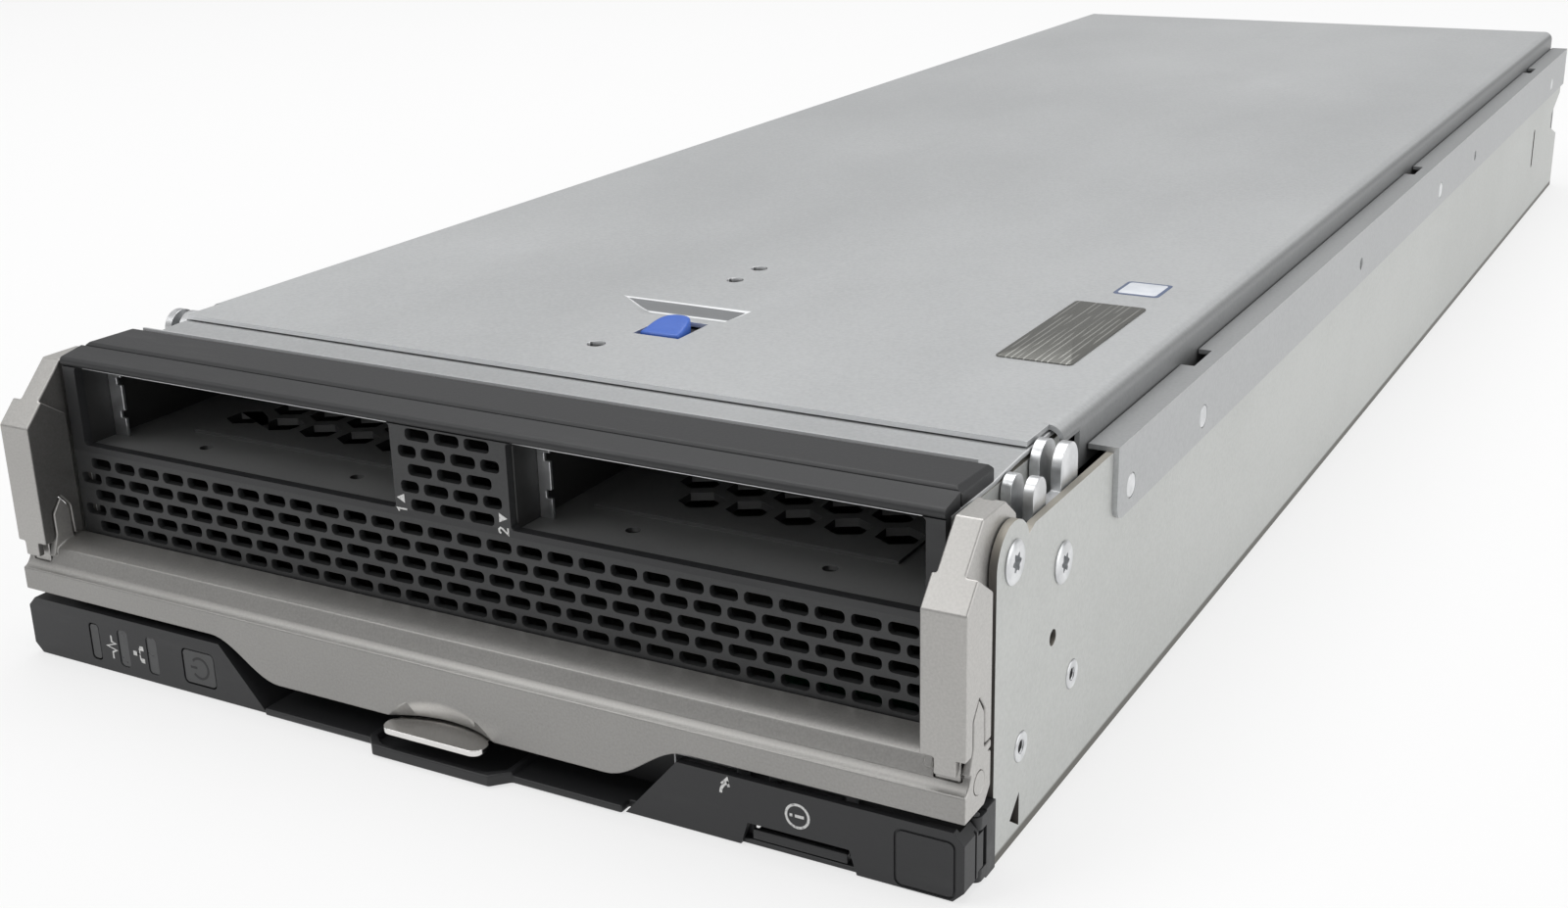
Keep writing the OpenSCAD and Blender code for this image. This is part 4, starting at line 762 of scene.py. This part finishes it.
def make_bay_marks():
    """The numbers 1 and 2 of the two bays, each a line with an arrow, turned a quarter to the left."""
    grille = front(span("divider_grille")[0][1])
    one = [(-12.4, 44.3), (-12.8, 44.85), (-10.6, 44.85)]
    two = [(10.9, 43.9), (10.55, 44.15), (10.5, 44.65), (10.85, 44.95), (11.3, 44.8), (12.5, 43.85),
           (12.5, 45.1)]
    bays = [stroke(grille, digit, 0.36, 0.04) for digit in (one, two)]
    for tip, base in (((-12.8, 47.0), -10.99), ((12.5, 46.9), 10.7)):
        outline = np.array([tip, (base, tip[1] - 0.9), (base, tip[1] + 0.9), tip])
        middle = outline[:3].mean(axis=0)
        rows = [grille(outline[:, 0], outline[:, 1], -SUNK), grille(outline[:, 0], outline[:, 1], 0.04),
                grille(np.full(4, middle[0]), np.full(4, middle[1]), 0.04)]
        bays.append((np.stack(rows), False, False))
    build("bay_marks", bays, PRINT, "chassis", "clear_plastic")


def make_light_marks():
    """A pulse line and a network sign beside the lights. The network is three squares on a stem."""
    panel = front(span("control_panel")[0][1])
    x, z = -83.4, 5.95
    pulse = [(0.0, 2.6), (0.0, 1.2), (1.1, 0.9), (-1.4, 0.1), (1.2, -0.55), (0.0, -1.1), (0.0, -2.6)]
    signs = [stroke(panel, np.array(pulse) + (x, z), 0.40, 0.04)]
    x = -75.5
    signs.append(stroke(panel, [(x, z - 1.3), (x, z + 1.3)], 0.28, 0.04))
    signs.append(stroke(panel, [(x, z), (x - 1.0, z)], 0.28, 0.04))
    for across, up in ((-1.35, 0.0), (0.65, 1.35), (0.65, -1.35)):
        square = [(x + across - 0.5, z + up), (x + across + 0.5, z + up)]
        signs.append(stroke(panel, square, 1.0, 0.05))
        signs.append(stroke(panel, [(x, z + up), (x + across, z + up)], 0.28, 0.04))
    build("light_marks", signs, PRINT, "chassis", "clear_plastic")


def make_door_marks():
    """A curved arrow and a ringed i on the door. The i lies on its side, as a dash and a dot."""
    panel = front(span("control_panel")[0][1])
    x, z = 76.55, 8.5
    door = [stroke(panel, arc((64.4, 9.2), 2.6, 178, 112, 8), 0.55, 0.04),
            stroke(panel, [(62.0, 11.0), (63.1, 12.2), (63.4, 10.7)], 0.50, 0.04),
            stroke(panel, arc((x, z), 2.15, 0, 345, 24), 0.46, 0.04, closed=True),
            stroke(panel, [(76.1, z), (77.8, z)], 0.55, 0.04),
            stroke(panel, [(75.1, z), (75.6, z)], 0.55, 0.04)]
    build("door_marks", door, PRINT, "port_door", "clear_plastic")


def make_power_mark():
    """The power sign on its key: an open ring with a dash through its gap."""
    low, high = span("power_button")
    cap = front(low[1])
    x, _, z = (low + high) / 2
    sign = [stroke(cap, arc((x + 0.2, z), 2.2, 140, -140, 28), 0.5, 0.03),
            stroke(cap, [(x - 2.3, z), (x - 0.6, z)], 0.5, 0.03)]
    build("power_mark", sign, BLACK, "power_button", "black_plastic")


make_side_screws()
make_side_nuts()
make_cover_sides()
make_cover_button()
make_front_edges()
make_badge_and_sticker()
make_bay_marks()
make_light_marks()
make_door_marks()
make_power_mark()


# ---------------------------------------------------------------- floor, light and camera


def make_floor():
    """A pale floor that keeps the shadow; rays from the camera and from gloss see it nearly white."""
    mesh = bpy.data.meshes.new("floor")
    corners = [(x * FLOOR_REACH, y * FLOOR_REACH, 0) for x, y in ((-1, -1), (1, -1), (1, 1), (-1, 1))]
    mesh.from_pydata(corners, [], [(0, 1, 2, 3)])
    floor = bpy.data.objects.new("floor", mesh)
    bpy.context.scene.collection.objects.link(floor)
    f = Finish("pale_floor", roughness=0.9)
    cloud = f.noise(3.0, 2.0)
    f["Base Color"] = f.blend(cloud, (0.80, 0.80, 0.80), (0.82, 0.82, 0.82))
    glow = f.tree.nodes.new("ShaderNodeEmission")
    glow.inputs["Color"].default_value = (1.0, 1.0, 1.0, 1.0)
    seen = f.add("ShaderNodeLightPath", output="Is Camera Ray")
    mirrored = f.add("ShaderNodeLightPath", output="Is Glossy Ray")
    mixed = f.tree.nodes.new("ShaderNodeMixShader")
    f.put((seen + mirrored).held() * 0.70, mixed.inputs[0])
    f.tree.links.new(f.shader.outputs[0], mixed.inputs[1])
    f.tree.links.new(glow.outputs[0], mixed.inputs[2])
    f.tree.links.new(mixed.outputs[0], f.tree.nodes["Material Output"].inputs["Surface"])
    mesh.materials.append(f.material)


def make_world():
    """An even pale sky, white where the camera looks past the floor."""
    world = bpy.data.worlds.new("studio")
    bpy.context.scene.world = world
    world.use_nodes = True
    tree = world.node_tree
    sky = tree.nodes["Background"]
    rays = tree.nodes.new("ShaderNodeLightPath")
    strength = tree.nodes.new("ShaderNodeMix")
    strength.inputs["A"].default_value = 0.42
    strength.inputs["B"].default_value = 1.0
    tree.links.new(rays.outputs["Is Camera Ray"], strength.inputs["Factor"])
    tree.links.new(strength.outputs[0], sky.inputs["Strength"])
    sky.inputs["Color"].default_value = (1.0, 1.0, 1.0, 1.0)


def soft_box(name, at, target, size, power):
    """A square lamp at one point that faces another."""
    lamp = bpy.data.lights.new(name, "AREA")
    lamp.size = size
    lamp.energy = power
    holder = bpy.data.objects.new(name, lamp)
    holder.location = at
    holder.rotation_euler = (Vector(target) - Vector(at)).to_track_quat("-Z", "Y").to_euler()
    bpy.context.scene.collection.objects.link(holder)


def make_camera():
    """A camera to the right of the front and above it, turned a little about its own axis."""
    turn, drop, roll = np.radians(CAMERA_TURNS)
    ahead = Vector((math.sin(turn) * math.cos(drop), math.cos(turn) * math.cos(drop), math.sin(drop)))
    level = ahead.cross(Vector((0, 0, 1))).normalized()
    upright = level.cross(ahead)
    right = level * math.cos(roll) + upright * math.sin(roll)
    up = upright * math.cos(roll) - level * math.sin(roll)
    lens = bpy.data.cameras.new("camera")
    lens.lens = FOCAL_LENGTH
    lens.sensor_width = 36.0
    lens.clip_start = 0.01
    camera = bpy.data.objects.new("camera", lens)
    at = Vector(CAMERA_AT) * MM
    camera.matrix_world = Matrix.Translation(at) @ Matrix((right, up, -ahead)).transposed().to_4x4()
    bpy.context.scene.collection.objects.link(camera)
    bpy.context.scene.camera = camera


make_floor()
make_world()
soft_box("right_box", (2.2, 0.3, 0.9), (0.0, 0.0, 0.0), 2.4, 25.5)
soft_box("top_box", (-0.3, 0.4, 2.2), (0.0, 0.0, 0.0), 2.0, 34.0)
soft_box("left_box", (-0.95, -1.35, 1.45), (0.0, -0.3, 0.0), 0.9, 9.0)
make_camera()
bpy.context.scene.view_settings.view_transform = "Standard"
